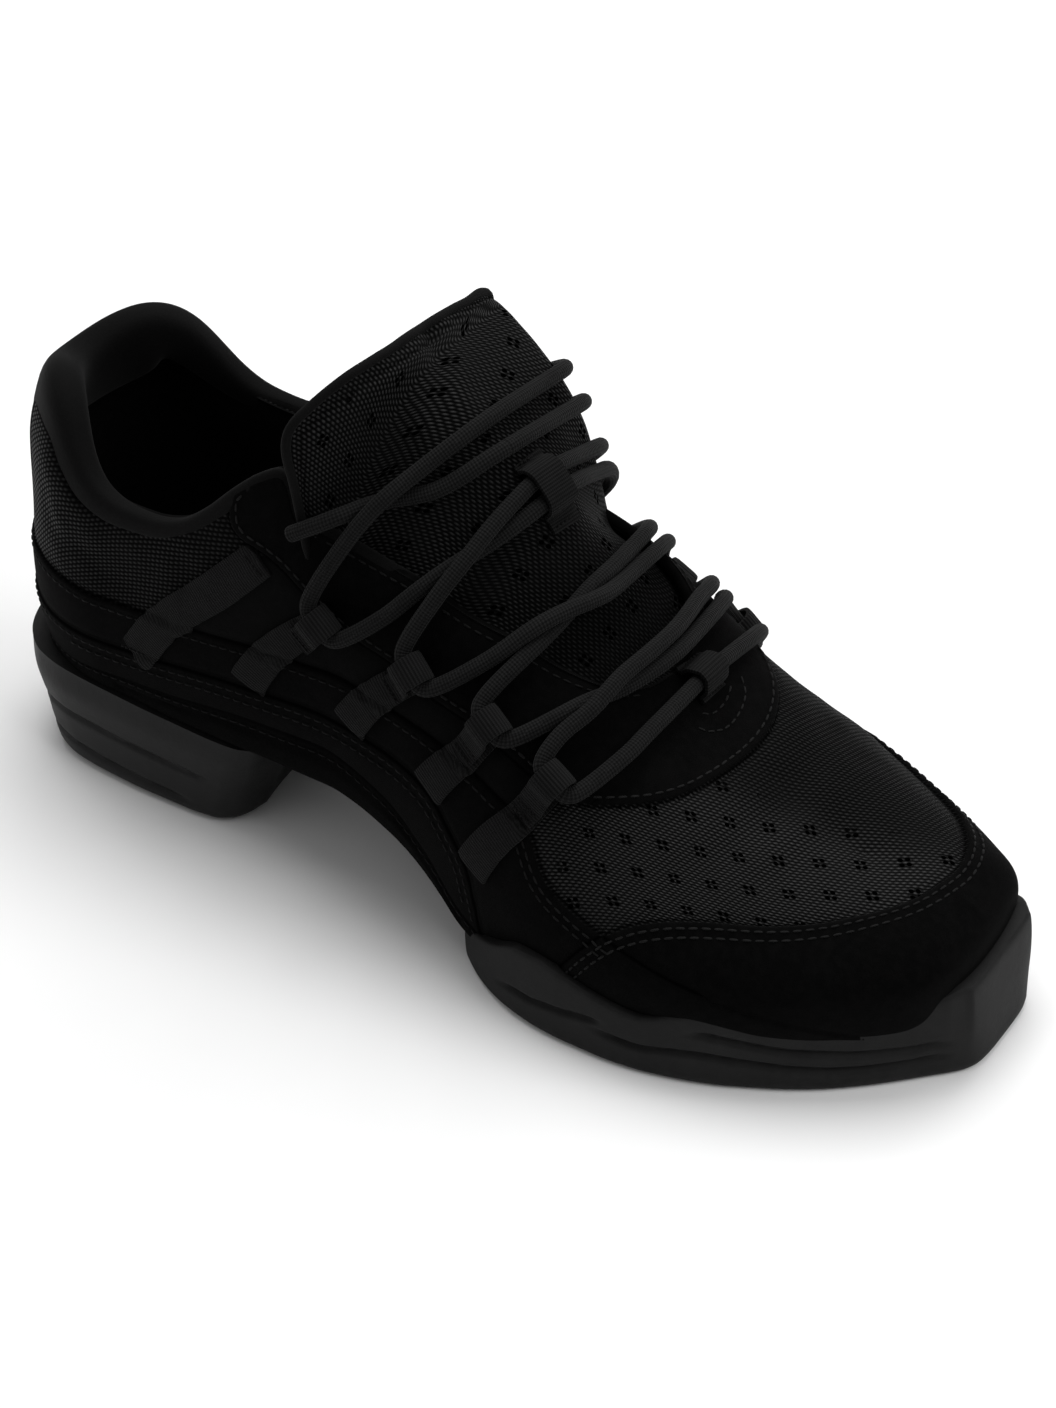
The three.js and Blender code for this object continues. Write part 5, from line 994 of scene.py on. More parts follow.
rp, rn, ru = rim_path()
dist = np.r_[0, np.cumsum(np.linalg.norm(np.diff(rp, axis=0), axis=1))]
tt = np.linspace(0, dist[-1], 420)
RP, RN, RU = [np.stack([np.interp(tt, dist, a[:, c]) for c in range(3)], -1) for a in (rp, rn, ru)]
RP = heel_lift(RP)
for _ in range(6):
    RP[1:-1] = (RP[:-2] + 2 * RP[1:-1] + RP[2:]) / 4
px = RP[:, 0]
for _ in range(50):
    for a in (RN, RU):
        a[1:-1] = (a[:-2] + 2 * a[1:-1] + a[2:]) / 4
RN = unit(RN)
RT = unit(np.gradient(RP, axis=0))
RN = unit(RN - RT * np.sum(RN * RT, 1, keepdims=True))
RU = RU - RT * np.sum(RU * RT, 1, keepdims=True)
RU = unit(RU - RN * np.sum(RU * RN, 1, keepdims=True))
backness = smooth(40, 16, px)
thick = np.interp(px, [-5, 6, 20, 32, 45, 62, 80, 92, 120], [11.5, 11.5, 10.2, 7.6, 5.4, 4.3, 3.7, 3.2, 2.8])
deep = np.interp(px, [-5, 8, 15, 25, 33, 45, 62, 80, 92, 120], [21.0, 20.0, 18.0, 13.5, 9.5, 6.0, 4.6, 3.9, 3.4, 2.8])
end = smooth(0, 7, np.minimum(tt, tt[-1] - tt))
thick, deep = thick * (0.35 + 0.65 * end), deep * (0.35 + 0.65 * end)
lumps = wobble(RP, 13.0, 2.0)
K = 28
ang = np.linspace(0, 2 * pi, K, endpoint=False)
cx = np.sign(np.cos(ang)) * np.abs(np.cos(ang)) ** 0.68
sy = np.sign(np.sin(ang)) * np.abs(np.sin(ang)) ** 0.75
sink = (1 - end) * 1.4
centre = RP - RN * (thick / 2 - 0.35 - 0.55 * backness + sink)[:, None] + RU * (deep / 2 - 0.15 - 1.5 * backness)[:, None]
ringsP = centre[:, None] + RN[:, None] * (cx[None, :, None] * (thick / 2 * (1 + 0.05 * lumps))[:, None, None]) + RU[:, None] * (sy[None, :, None] * (deep / 2)[:, None, None])
even = ringsP.copy()
for _ in range(110):
    even[1:-1] = (even[:-2] + 2 * even[1:-1] + even[2:]) / 4
ringsP = ringsP + (even - ringsP) * smooth(60, 30, px)[:, None, None]
cv, ct = caps(len(RP), K, ringsP.reshape(-1, 3).tolist())
uvp = np.zeros((len(cv), 2))
collar = make("collar_pad", cv, grid_quads(len(RP), K, wrap=True), ct, uv=uvp, mats=[MAT["collar"]], sharp=0)
PAD = tree(ringsP.reshape(-1, 3), grid_quads(len(RP), K, wrap=True).tolist())


# ------------------------------------------------------------------ midsole, outsole, footbed
def feather(s, side, dist):
    e = 2e-3
    p, q, r = form(s, 0, side), form(min(s + e, 1), 0, side), form(max(s - e, 0), 0, side)
    t = unit((q - r)[:2])
    return np.array([p[0] + side * -t[1] * dist, p[1] + side * t[0] * dist, p[2]])


underside = Curve(BOARD[:, 0], BOARD[:, 2])
insole_top = Curve(BOARD[:, 0], BOARD[:, 1])


def s_at(x):
    s = float(share_inv(np.clip(x, 1, 250) / LAST))
    for _ in range(12):
        s = float(np.clip(s + (x - form(s, 0, -1)[0]) / 400.0, 0, 1))
    return s


def midsole():
    rings = []
    s_end = s_at(159.0)
    prof = [(1.0, 0.9), (0.985, 0.25), (0.95, -0.15), (0.9, -0.3), (0.8, -0.35), (0.7, -0.45), (0.6, -0.5), (0.5, -0.4), (0.4, -0.15), (0.3, 0.15), (0.2, 0.45), (0.1, 0.95), (0.04, 1.6), (0.0, 2.6)]
    for s in np.r_[np.linspace(0.006, 0.05, 12), np.linspace(0.05, s_end, 190)[1:]]:
        p0 = form(s, 0, -1)
        zt, zb = p0[2] + 0.15, float(underside(p0[0])) - 0.1
        h = zt - zb
        tuck = float(np.clip((h - 3) / 10, 0.12, 1))
        ring = []
        for side in (-1, 1):
            part = []
            for f, inn in prof:
                p = feather(s, side, 0.55 - inn * tuck)
                z = zb + h * f
                lump = 0.22 * noise.noise(Vector((p[0] / 16, side * 3.1 + z / 9, 5.0)))
                seam = -0.5 * math.exp(-(((zt - z - 3.4) / 0.7) ** 2)) * (1 if h > 6 else 0)
                d = unit(np.array([p[0] - form(s, 0, 1)[0] * 0 - p[0], side, 0]))
                part.append([p[0], p[1] + side * (lump + seam), z])
            ring.append(part)
        L, R = ring
        across_b = [[(1 - t) * L[-1][k] + t * R[-1][k] for k in range(3)] for t in np.linspace(0, 1, 12)[1:-1]]
        across_t = [[(1 - t) * R[0][k] + t * L[0][k] for k in range(3)] for t in np.linspace(0, 1, 8)[1:-1]]
        rings.append(L + across_b + R[::-1] + across_t)
    rings = np.array(rings)
    n, m = rings.shape[:2]
    v, t = caps(n, m, rings.reshape(-1, 3).tolist())
    return make("midsole_wrap", v, grid_quads(n, m, wrap=True), t, mats=[MAT["suede"]], sharp=35), rings


mid_ob, MID = midsole()
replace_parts(mid_ob, "midsole"), mid_ob


def pchip_loop(rows, step):
    d = np.r_[0, np.cumsum(np.linalg.norm(np.diff(rows[:, :2], axis=0), axis=1))]
    cs = [Curve(d, rows[:, k]) for k in range(rows.shape[1])]
    t = np.linspace(0, d[-1], int(d[-1] / step))
    return np.stack([c(t) for c in cs], -1)


FLUTES = [
    ([157, 158.8, 169.6, 178.2, 187, 190], [0.39, 0.39, 0.40, 0.50, 0.64, 0.68]),
    ([206, 209.4, 224.2, 235.5, 245.9, 255.8, 258], [0.76, 0.73, 0.61, 0.60, 0.57, 0.43, 0.40]),
    ([184, 187, 205.1, 224.5, 235.8, 245.9, 256.1, 258], [0.53, 0.50, 0.47, 0.37, 0.34, 0.33, 0.27, 0.26]),
]


def flute_depth(x, f, top):
    d = np.zeros_like(x)
    for xs, fs in FLUTES:
        z = np.interp(x, xs, fs) * top
        on = smooth(xs[0], xs[0] + 8, x) * smooth(xs[-1], xs[-1] - 6, x)
        d += 1.3 * on * np.exp(-(((f * top - z) / 0.8) ** 2))
    return d


def fan(edge, centre, count, height):
    """Rings from an outline in to its centre."""
    rows = []
    for k in np.linspace(1, 0, count + 1)[1:-1]:
        p = centre + (edge - centre) * k
        rows.append(np.column_stack([p[:, 0], p[:, 1], height(p[:, 0], p[:, 1], k)]))
    return rows


def tread(bars, x0, x1, half):
    def h(x, y, k):
        z = np.zeros_like(x)
        for b, turn in bars:
            z = np.maximum(z, 1.6 * (1 - smooth(1.2, 1.7, np.abs(x + y * turn - b))))
        ribs = 0.45 * (1 - smooth(0.35, 0.75, np.abs(((x + y * 0.0) / 4.0) % 1 * 4.0 - 2.0)))
        z = np.maximum(z, ribs * smooth(0.0, 0.1, k) * smooth(0.97, 0.93, k))
        return z
    return h


def front_sole():
    edge = pchip_loop(np.vstack([CUP, CUP[:1]]), 0.75)
    c0 = np.array([200.0, -1.0])
    x, y, top = edge[:, 0], edge[:, 1], edge[:, 2]
    front = np.clip((x - 256) / 6, 0, 1)
    backw = np.clip((144 - x) / 5, 0, 1)
    d = unit(np.column_stack([x - c0[0], y - c0[1]]))
    soft = edge[:, :2].copy()
    for _ in range(90):
        soft = (np.roll(soft, 1, 0) + 2 * soft + np.roll(soft, -1, 0)) / 4
    rounder = (soft - edge[:, :2]) * smooth(235, 250, x)[:, None]
    rows = []
    fs = np.r_[0, 0.02, 0.05, 0.09, np.linspace(0.12, 0.94, 44), 0.96, 0.98, 0.992, 1.0]
    inset_of = Curve(np.array([0, 0.02, 0.05, 0.09, 0.5, 0.85, 0.95, 0.98, 1.0]), np.array([1.6, 0.9, 0.45, 0.2, 0.0, 0.3, 0.55, 0.8, 1.25]))
    for f in fs:
        ins = float(inset_of(f)) + flute_depth(x, f, top) * (1 - front)
        px = x - d[:, 0] * ins - front * 3.0 * f * (1 - 0.2 * f) + backw * 1.5 * (1 - f)
        py = y - d[:, 1] * ins
        blend = 1.0 - 0.75 * float(smooth(0.0, 0.9, f))
        px, py = px + rounder[:, 0] * blend, py + rounder[:, 1] * blend
        rows.append(np.column_stack([px, py, top * f]))
    # lip in to the upper, then down inside it
    q, n = snap(BASE, rows[-1])
    n = out_normals(q, n)
    inn = q - n * 1.0
    inn[:, 2] = np.minimum(inn[:, 2], top - 0.1)
    flat = x < 150
    inn[flat] = (np.column_stack([c0[0] + (rows[-1][:, 0] - c0[0]) * 0.955, c0[1] + (rows[-1][:, 1] - c0[1]) * 0.955, top - 0.5]))[flat]
    rows.append(rows[-1] * 0.5 + inn * 0.5 + [0, 0, 0.05])
    rows.append(inn)
    low = inn.copy()
    low[:, :2] = c0 + (low[:, :2] - c0) * 0.955
    low[:, 2] = np.minimum(low[:, 2] - 2, 6.6)
    rows.append(low)
    for k in (0.75, 0.5, 0.25):
        r = low.copy()
        r[:, :2] = c0 + (low[:, :2] - c0) * k
        r[:, 2] = 6.5
        rows.append(r)
    under = fan(rows[0][:, :2], c0, 64, tread([(158, -0.05), (228, 0.05), (243, 0.08)], 140, 262, 53))
    allrows = under[::-1] + rows
    R = np.array(allrows)
    n_r, m = R.shape[:2]
    v, t = caps(n_r, m, R.reshape(-1, 3).tolist())
    v[-2] = (c0[0], c0[1], 0.0)
    v[-1] = (c0[0], c0[1], 6.5)
    return make("front_sole", v, grid_quads(n_r, m, wrap=True), t, mats=[MAT["front"]], sharp=38)


front_ob = front_sole()
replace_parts(front_ob, "outsole_front"), front_ob


def heel_sole():
    cols = [Curve(HEEL[:, 0], HEEL[:, k]) for k in (1, 2, 3)]
    plan = Curve(PLAN[:, 0], PLAN[:, 1])
    th = np.linspace(0, 1, 170)
    u = (1 - np.cos(pi * th)) / 2
    u = 0.5 * u + 0.5 * th**1.6
    u = u / u[-1]

    def ring(f, extra=0.0):
        xb, xf, w = [float(c(f)) for c in cols]
        x = xb + (xf - xb) * u
        g = plan(u)
        zt = underside(x) - 0.15
        fl = np.zeros_like(x)
        z = f * zt
        for frac, xs in ((np.interp(x, [0, 30, 70], [0.53, 0.54, 0.50]), (3, 69)), (np.interp(x, [0, 30, 70], [0.27, 0.20, 0.15]), (6, 62))):
            on = smooth(xs[1], xs[1] - 9, x)
            fl += 0.8 * on * np.exp(-(((z - frac * zt) / 0.8) ** 2))
        bulge = 0.5 * np.exp(-(((f - 0.78) / 0.16) ** 2))
        edge = 0.9 * math.exp(-((f / 0.02) ** 2)) + 0.35 * math.exp(-(((f - 0.02) / 0.03) ** 2))
        grow = bulge - fl - edge + extra
        L = np.column_stack([x - (1 - np.minimum(u * 6, 1)) * grow, -(w * g + grow * np.minimum(g * 1.3, 1)) - 0.2, z])
        R = np.column_stack([x - (1 - np.minimum(u * 6, 1)) * grow, (w * g + grow * np.minimum(g * 1.3, 1)) - 0.2, z])[1:][::-1]
        xe = xf - 2.2
        front = [[xf + (xe - xf) * (1 - (2 * t - 1) ** 2) , L[-1][1] + (R[0][1] - L[-1][1]) * t, f * (float(underside(xf)) - 0.15)] for t in np.linspace(0, 1, 40)[1:-1]]
        return np.vstack([L, front, R])

    rings = [ring(f) for f in np.r_[0, 0.012, 0.03, 0.06, np.linspace(0.09, 0.97, 46), 1.0]]
    c0 = np.array([40.0, -0.2])
    under = fan(rings[0][:, :2], c0, 40, tread([(26, 0), (44, 0), (60, 0)], 5, 72, 31))
    top = []
    for k in (0.9, 0.6, 0.3):
        r = rings[-1].copy()
        r[:, :2] = c0 + (r[:, :2] - c0) * k
        r[:, 2] = np.interp(r[:, 0], [0, 40, 60, 80], [27.7, 27.3, 26.3, 25.2])
        top.append(r)
    R = np.array(under[::-1] + rings + top)
    n, m = R.shape[:2]
    v, t = caps(n, m, R.reshape(-1, 3).tolist())
    v[-2] = (c0[0], c0[1], 0.0)
    return make("heel_sole", v, grid_quads(n, m, wrap=True), t, mats=[MAT["heel"]], sharp=38)


heel_ob = heel_sole()
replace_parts(heel_ob, "outsole_heel"), heel_ob


def footbed():
    rings = []
    for s in np.linspace(0.05, s_at(250.0), 120):
        X = LAST * float(share(s))
        l, m = feather(s, -1, -2.3), feather(s, 1, -2.3)
        if m[1] - l[1] < 6:
            continue
        zb = float(zf_(X)) + 0.4
        ring = []
        for t in np.linspace(0, 1, 26):
            zt = (1 - t) * float(insole_top(l[0])) + t * float(insole_top(m[0]))
            z = zt + 0.8 * abs(2 * t - 1) ** 3 - 0.3 * (1 - abs(2 * t - 1)) + 0.15 * noise.noise(Vector((l[0] / 18, t * 4, 2.0)))
            ring.append([l[0] + t * (m[0] - l[0]), l[1] + t * (m[1] - l[1]), z])
        bottom = [[l[0] + t * (m[0] - l[0]), l[1] + t * (m[1] - l[1]), zb] for t in np.linspace(1, 0, 8)]
        rings.append(ring + bottom)
    R = np.array(rings)
    n, m = R.shape[:2]
    v, t = caps(n, m, R.reshape(-1, 3).tolist())
    return make("footbed", v, grid_quads(n, m, wrap=True), t, mats=[MAT["footbed"]], sharp=50)


bed = footbed()
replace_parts(bed, "insole"), bed


# ------------------------------------------------------------------ tongue
def tongue():
    T = TONGUE[::-1]                       # from the top down to under the vamp
    n, m = T.shape[:2]
    rows_n, cols_n = ((200, 96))
    along = np.linspace(0, n - 1, rows_n)
    across = np.linspace(0, m - 1, cols_n)
    mid = np.array([Curve(np.arange(n), T[:, j, k])(along) for j in range(m) for k in range(3)]).reshape(m, 3, rows_n).transpose(2, 0, 1)
    P = np.array([[Curve(np.arange(m), mid[i, :, k])(across) for k in range(3)] for i in range(rows_n)]).transpose(0, 2, 1)
    # rounded top corners, and the near edge drawn in where it dips behind the eyestay
    gone = np.r_[0, np.cumsum(np.linalg.norm(np.diff(P[:, cols_n // 2], axis=0), axis=1))]
    near_first = P[0, 0, 1] < P[0, -1, 1]
    for i in range(rows_n):
        t = gone[i]
        seg = np.r_[0, np.cumsum(np.linalg.norm(np.diff(P[i], axis=0), axis=1))]
        near, away = [r - math.sqrt(max(r * r - (r - min(t + 0.3, r)) ** 2, 0.0)) for r in (9.0, 11.0)]
        near += 6.5 * float(smooth(2, 15, t) * smooth(40, 26, t))
        a, b = (near, away) if near_first else (away, near)
        at = np.linspace(a, seg[-1] - b, cols_n)
        P[i] = np.stack([np.interp(at, seg, P[i, :, k]) for k in range(3)], -1)
    for _ in range(8):
        P[1:-1, 1:-1] = (P[:-2, 1:-1] + P[2:, 1:-1] + P[1:-1, :-2] + P[1:-1, 2:]) / 4
    dv, du = np.gradient(P, axis=0), np.gradient(P, axis=1)
    N = unit(np.cross(dv, du))
    if N[:, :, 2].mean() < 0:
        N = -N
    arc_u = np.cumsum(np.linalg.norm(du, axis=2), 1)
    arc_u -= arc_u[:, cols_n // 2][:, None]
    arc_v = np.cumsum(np.linalg.norm(dv, axis=2), 0)
    width = arc_u[:, -1] - arc_u[:, 0]
    edge = np.minimum(arc_u - arc_u[:, :1], arc_u[:, -1:] - arc_u)
    top = arc_v - arc_v[:1]
    e = np.minimum(edge, top)
    crown = 1.5 * (1 - np.exp(-((e / 5.0) ** 2))) - 0.9
    flat = P.reshape(-1, 3)
    lump = wobble(flat, 17.0, 3.0).reshape(e.shape) * 0.55 + wobble(flat, 6.5, 8.0).reshape(e.shape) * 0.16
    # soft channel down the middle near the top, and shallow dents under the laces
    line = catmull([(105.5, 9.0, 131.5), (113.0, 0.0, 124.8), (119.0, -8.5, 117.0), (121.5, -12.0, 113.5)], 1.0)
    d = np.min(np.linalg.norm(flat[:, None] - line[None], axis=2), 1).reshape(e.shape)
    chan = -1.1 * np.exp(-((d / 2.2) ** 2)) + 0.4 * np.exp(-(((d - 5.0) / 3.0) ** 2))
    seam_e = -0.7 * np.exp(-(((e - 3.1) / 0.9) ** 2)) * smooth(150, 132, P[..., 0])
    h = crown + lump * smooth(0, 4, e) + chan + seam_e
    outer = P + N * h[..., None]
    inner = P - N * (3.4 + 0.9 * (1 - np.exp(-((e / 4.0) ** 2))) - 1.2)[..., None]
    # rounded rim between both skins
    m2, n2 = cols_n, rows_n
    loop = [(0, j) for j in range(m2)] + [(i, m2 - 1) for i in range(1, n2)] + [(n2 - 1, j) for j in range(m2 - 2, -1, -1)] + [(i, 0) for i in range(n2 - 2, 0, -1)]
    o = np.array([outer[i, j] for i, j in loop])
    q = np.array([inner[i, j] for i, j in loop])
    c = (o + q) / 2
    mids = np.array([P[min(max(i, 3), n2 - 4), min(max(j, 3), m2 - 4)] for i, j in loop])
    out_dir = unit(np.array([P[i, j] for i, j in loop]) - mids)
    for _ in range(4):
        out_dir = unit(np.roll(out_dir, 1, 0) + 2 * out_dir + np.roll(out_dir, -1, 0))
    R = 5
    rims = []
    for r in range(1, R):
        th = pi * r / R
        rims.append(c + (o - q) / 2 * math.cos(th) + out_dir * (1.25 * math.sin(th)))
    verts = [outer.reshape(-1, 3), inner.reshape(-1, 3)] + rims
    base2 = 2 * n2 * m2
    g = grid_quads(n2, m2)
    quads = [g, g[:, ::-1] + n2 * m2]
    k = len(loop)
    ids_o = np.array([i * m2 + j for i, j in loop])
    ids_i = ids_o + n2 * m2
    layers = [ids_o] + [base2 + r * k + np.arange(k) for r in range(R - 1)] + [ids_i]
    for a, b in zip(layers[:-1], layers[1:]):
        quads.append(np.stack([np.roll(a, -1), a, b, np.roll(b, -1)], -1))
    V = np.concatenate(verts)
    uv = np.zeros((len(V), 2))
    uv[: n2 * m2] = np.stack([arc_v.ravel(), arc_u.ravel()], -1)
    uv[n2 * m2: base2] = uv[: n2 * m2]
    uv[base2:] = V[base2:, [0, 1]]
    perf = np.zeros(len(V))
    perf[: n2 * m2] = (smooth(2.5, 5.0, e)).ravel()
    ob = make("tongue_pad", V, np.concatenate(quads), uv=uv, attrs={"perf": perf}, mats=[MAT["tongue"]], sharp=0)
    return ob, outer, N, o, out_dir, q, loop, e


tongue_ob, T_OUT, T_N, T_RIM, T_DIR, T_IN, T_LOOP, T_E = tongue()
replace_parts(tongue_ob, "tongue"), tongue_ob
tr, tc = T_OUT.shape[:2]
TSURF = tree(T_OUT.reshape(-1, 3), grid_quads(tr, tc).tolist())


def tube(name, path, radius, sides=12, mat=None, closed_ends=True, squash=1.0, hint=None, dome=True):
    """A round cord along a path, in millimetres, with u round it and v along it."""
    path = np.asarray(path, float)
    r = np.full(len(path), radius)
    if dome:
        t = unit(np.gradient(path, axis=0))
        head = np.array([path[0] - t[0] * radius * 0.35 * math.sin(a) for a in (pi / 2, pi / 4)])
        tail = np.array([path[-1] + t[-1] * radius * 0.35 * math.sin(a) for a in (pi / 4, pi / 2)])
        path = np.vstack([head, path, tail])
        r = np.r_[radius * 0.55, radius * 0.88, r, radius * 0.88, radius * 0.55]
    t, n = frames(path, hint)
    b = np.cross(t, n)
    a = np.linspace(0, 2 * pi, sides + 1)
    R = path[:, None] + n[:, None] * (np.cos(a)[None, :, None] * r[:, None, None] * squash) + b[:, None] * (np.sin(a)[None, :, None] * r[:, None, None])
    d = np.r_[0, np.cumsum(np.linalg.norm(np.diff(path, axis=0), axis=1))]
    uv = np.stack(np.broadcast_arrays((a * radius)[None, :], d[:, None]), -1).reshape(-1, 2)
    n_r, m = R.shape[:2]
    V = R.reshape(-1, 3).tolist()
    quads = grid_quads(n_r, m)
    tris = []
    for r_i, flip in ((0, True), (n_r - 1, False)):
        V.append(tuple(path[r_i] + (t[r_i] * radius * (-0.1 if r_i == 0 else 0.1))))
        ci = len(V) - 1
        uv = np.vstack([uv, [[0, d[r_i]]]])
        for j in range(m - 1):
            p, q = r_i * m + j, r_i * m + j + 1
            tris.append([q, p, ci] if flip else [p, q, ci])
    ob = make(name, V, quads, np.array(tris), mats=[mat], sharp=0)
    # uv by loop position so the seam doesn't smear
    me = ob.data
    layer = me.uv_layers.new(name="uv")
    co = np.zeros(len(me.vertices) * 3)
    me.vertices.foreach_get("co", co)
    co = co.reshape(-1, 3) * 1000 + ORIGIN
    kd = KDTree(len(path))
    for i, p in enumerate(path):
        kd.insert(p, i)
    kd.balance()
    angs, lens = np.zeros(len(co)), np.zeros(len(co))
    for i, p in enumerate(co):
        k = kd.find(p)[1]
        w = p - path[k]
        angs[i] = math.atan2(w @ b[k], w @ n[k]) % (2 * pi)
        lens[i] = d[k] + w @ t[k]
    li = np.zeros(len(me.loops), int)
    me.loops.foreach_get("vertex_index", li)
    sizes = np.zeros(len(me.polygons), int)
    starts = np.zeros(len(me.polygons), int)
    me.polygons.foreach_get("loop_total", sizes)
    me.polygons.foreach_get("loop_start", starts)
    A = angs[li]
    for s0, k in zip(starts, sizes):
        seg = A[s0:s0 + k]
        if seg.max() - seg.min() > pi:
            A[s0:s0 + k] = np.where(seg < pi, seg + 2 * pi, seg)
    layer.data.foreach_set("uv", (np.column_stack([A * radius, lens[li]]) / 1000).ravel())
    return ob


# piping along the top edge of the tongue and down both sides
pipe_ids = [k for k, (i, j) in enumerate(T_LOOP) if (i == 0) or (j in (0, tc - 1) and i < tr * 0.36)]
start_at = [k for k in pipe_ids if T_LOOP[k][1] == 0 and T_LOOP[k][0] > 0]
order = sorted(start_at, key=lambda k: -T_LOOP[k][0]) + [k for k in pipe_ids if T_LOOP[k][0] == 0] + sorted([k for k in pipe_ids if T_LOOP[k][1] == tc - 1 and T_LOOP[k][0] > 0], key=lambda k: T_LOOP[k][0])
pp = (T_RIM * 0.72 + T_IN * 0.28 + T_DIR * 1.2)[order]
for _ in range(14):
    pp[1:-1] = (pp[:-2] + 2 * pp[1:-1] + pp[2:]) / 4
piping = tube("tongue_piping", resample(pp, 0.9), 1.15, 10, MAT["piping"])


# ------------------------------------------------------------------ lace
LACE_R = 1.92
CHAIN = [("near_end", 0), ("9", 0), ("6", 1), ("5", 0), ("2", 1), ("1", 0), ("3", 1), ("4", 0), ("7", 1), ("8", 0), ("far_end", 0)]
pts, tag = [], []
for name, rev in CHAIN:
    p = ROUTE[name][::-1] if rev else ROUTE[name]
    for q in p:
        if pts and np.linalg.norm(np.array(q) - pts[-1]) < 1.2:
            continue
        pts.append(np.array(q, float)), tag.append(name)
pts = np.array(pts)
raw = catmull(pts, 0.8)
kd = KDTree(len(pts))
for i, p in enumerate(pts):
    kd.insert(p, i)
kd.balance()
lab = np.array([tag[kd.find(p)[1]] for p in raw])
step_len = float(np.linalg.norm(np.diff(raw, axis=0), axis=1).mean())
far_apart = int(14 / step_len)
over = np.array([1.0 if t in ("2", "4", "6", "8", "far_end") else -1.0 for t in lab])
# points at the eyes, at the middle of each turn through webbing; neither list is used below
eye_at = [np.array(ROUTE[k][0]) for k in "123456789" if k in ROUTE and k != "9"]
held = np.ones(len(raw))
x = raw.copy()
center = np.array([130.0, 4.0, 40.0])


def blur(a, sigma):
    n = int(3 * sigma / step_len)
    k = np.exp(-0.5 * (np.arange(-n, n + 1) * step_len / sigma) ** 2)
    k /= k.sum()
    a = np.concatenate([np.repeat(a[:1], n, 0), a, np.repeat(a[-1:], n, 0)])
    return np.stack([np.convolve(a[:, c], k, "valid") for c in range(3)], -1)


raw = blur(raw, 1.6)
x = raw.copy()
for it in range(30):
    kd = KDTree(len(x))
    for i, p in enumerate(x):
        kd.insert(p, i)
    kd.balance()
    push = np.zeros_like(x)
    for i, p in enumerate(x):
        for co, j, dd in kd.find_range(p, 2 * LACE_R):
            if j <= i or j - i < far_apart:
                continue
            w = x[i] - x[j]
            upv = unit((x[i] + x[j]) / 2 - center)
            if over[i] != over[j] and dd < 3.2 and abs(unit(w) @ upv) < 0.95:
                w = w + upv * (over[i] * 3.5)
            w = unit(w)
            k = (2 * LACE_R - dd) * 0.5
            push[i] += w * k
            push[j] -= w * k
    x = x + np.clip(push, -0.5, 0.5)
    for bvh, margin, every in ((SURF, LACE_R + 0.05, 2), (TSURF, LACE_R + 0.05, 2)):
        if it % every:
            continue
        for i in range(len(x)):
            q, n, _, dist_ = bvh.find_nearest(Vector(x[i]), 8.0)
            if q is None:
                continue
            n = np.array(n)
            c = center if bvh is TSURF else np.array([min(max(x[i][0], 30), 225), 0.0, 24.0])
            if n @ (np.array(q) - c) < 0:
                n = -n
            gap = (x[i] - np.array(q)) @ n
            if np.linalg.norm(x[i] - np.array(q) - n * gap) > 0.9 or gap < -3.0:
                continue
            if gap < margin:
                x[i] += n * min(margin - gap, 0.8)
            elif bvh is TSURF and gap < margin + 1.6 and lab[i] not in ("near_end",):
                x[i] -= n * min((gap - margin) * 0.08, 0.1)
    off = x - raw
    far_off = np.linalg.norm(off, axis=1, keepdims=True)
    off = off * np.minimum(1.0, 2.6 / np.maximum(far_off, 1e-6))
    x = raw + 0.4 * off + 0.6 * blur(off, 3.2)
x = raw + blur(x - raw, 2.4)
LACE = x
n_near = int(np.max(np.where(lab == "near_end")[0][np.where(lab == "near_end")[0] < len(lab) // 2])) + 1
n_far = int(np.min(np.where(lab == "far_end")[0][np.where(lab == "far_end")[0] > len(lab) // 2]))
main = tube("lace_run", LACE[n_near - 1:n_far + 1], LACE_R, 16, MAT["braid"], dome=False)
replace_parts(main, "lace"), main


def length(p):
    return float(np.linalg.norm(np.diff(p, axis=0), axis=1).sum())


for name, node, path in (("lace_tip_near", "lace_end_near", LACE[:n_near][::-1]), ("lace_tip_far", "lace_end_far", LACE[n_far:])):
    ob = tube(name, path, LACE_R, 16, MAT["braid"])
    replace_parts(ob, node), ob
    print(name, "length mm", round(length(path), 1))
print("lace total mm", round(length(LACE), 1))


# ------------------------------------------------------------------ webbing
def ribbon(name, path, across, width, thick, mat, cols=9, fit=None, round_edge=0.45):
    """A flat tape: across is its width direction and fit(points, row) may seat each row."""
    path = np.asarray(path, float)
    t = unit(np.gradient(path, axis=0))
    w = across - np.sum(across * t, 1, keepdims=True) * t
    w = unit(w)
    n = unit(np.cross(t, w))
    width = np.broadcast_to(width, (len(path),))
    f = np.linspace(-1, 1, cols)
    shape = [(u, 0.5 * (1 - 0.25 * abs(u) ** 6)) for u in f] + [(1.0 + 0.03, 0.0)] + [(u, -0.5 * (1 - 0.25 * abs(u) ** 6)) for u in f[::-1]] + [(-1.03, 0.0)]
    shape = np.array(shape)
    R = path[:, None] + w[:, None] * (shape[None, :, :1] * (width / 2)[:, None, None]) + n[:, None] * (shape[None, :, 1:] * thick)
    if fit is not None:
        R = fit(R, path, w, n, shape)
    d = np.r_[0, np.cumsum(np.linalg.norm(np.diff(path, axis=0), axis=1))]
    uv = np.stack(np.broadcast_arrays(d[:, None], shape[None, :, 0] * 5.0), -1).reshape(-1, 2)
    n_r, m = R.shape[:2]
    v, tr_ = caps(n_r, m, R.reshape(-1, 3).tolist())
    uv = np.vstack([uv, [[0, 0], [d[-1], 0]]])
    return make(name, v, grid_quads(n_r, m, wrap=True), tr_, uv=uv, mats=[mat], sharp=55)


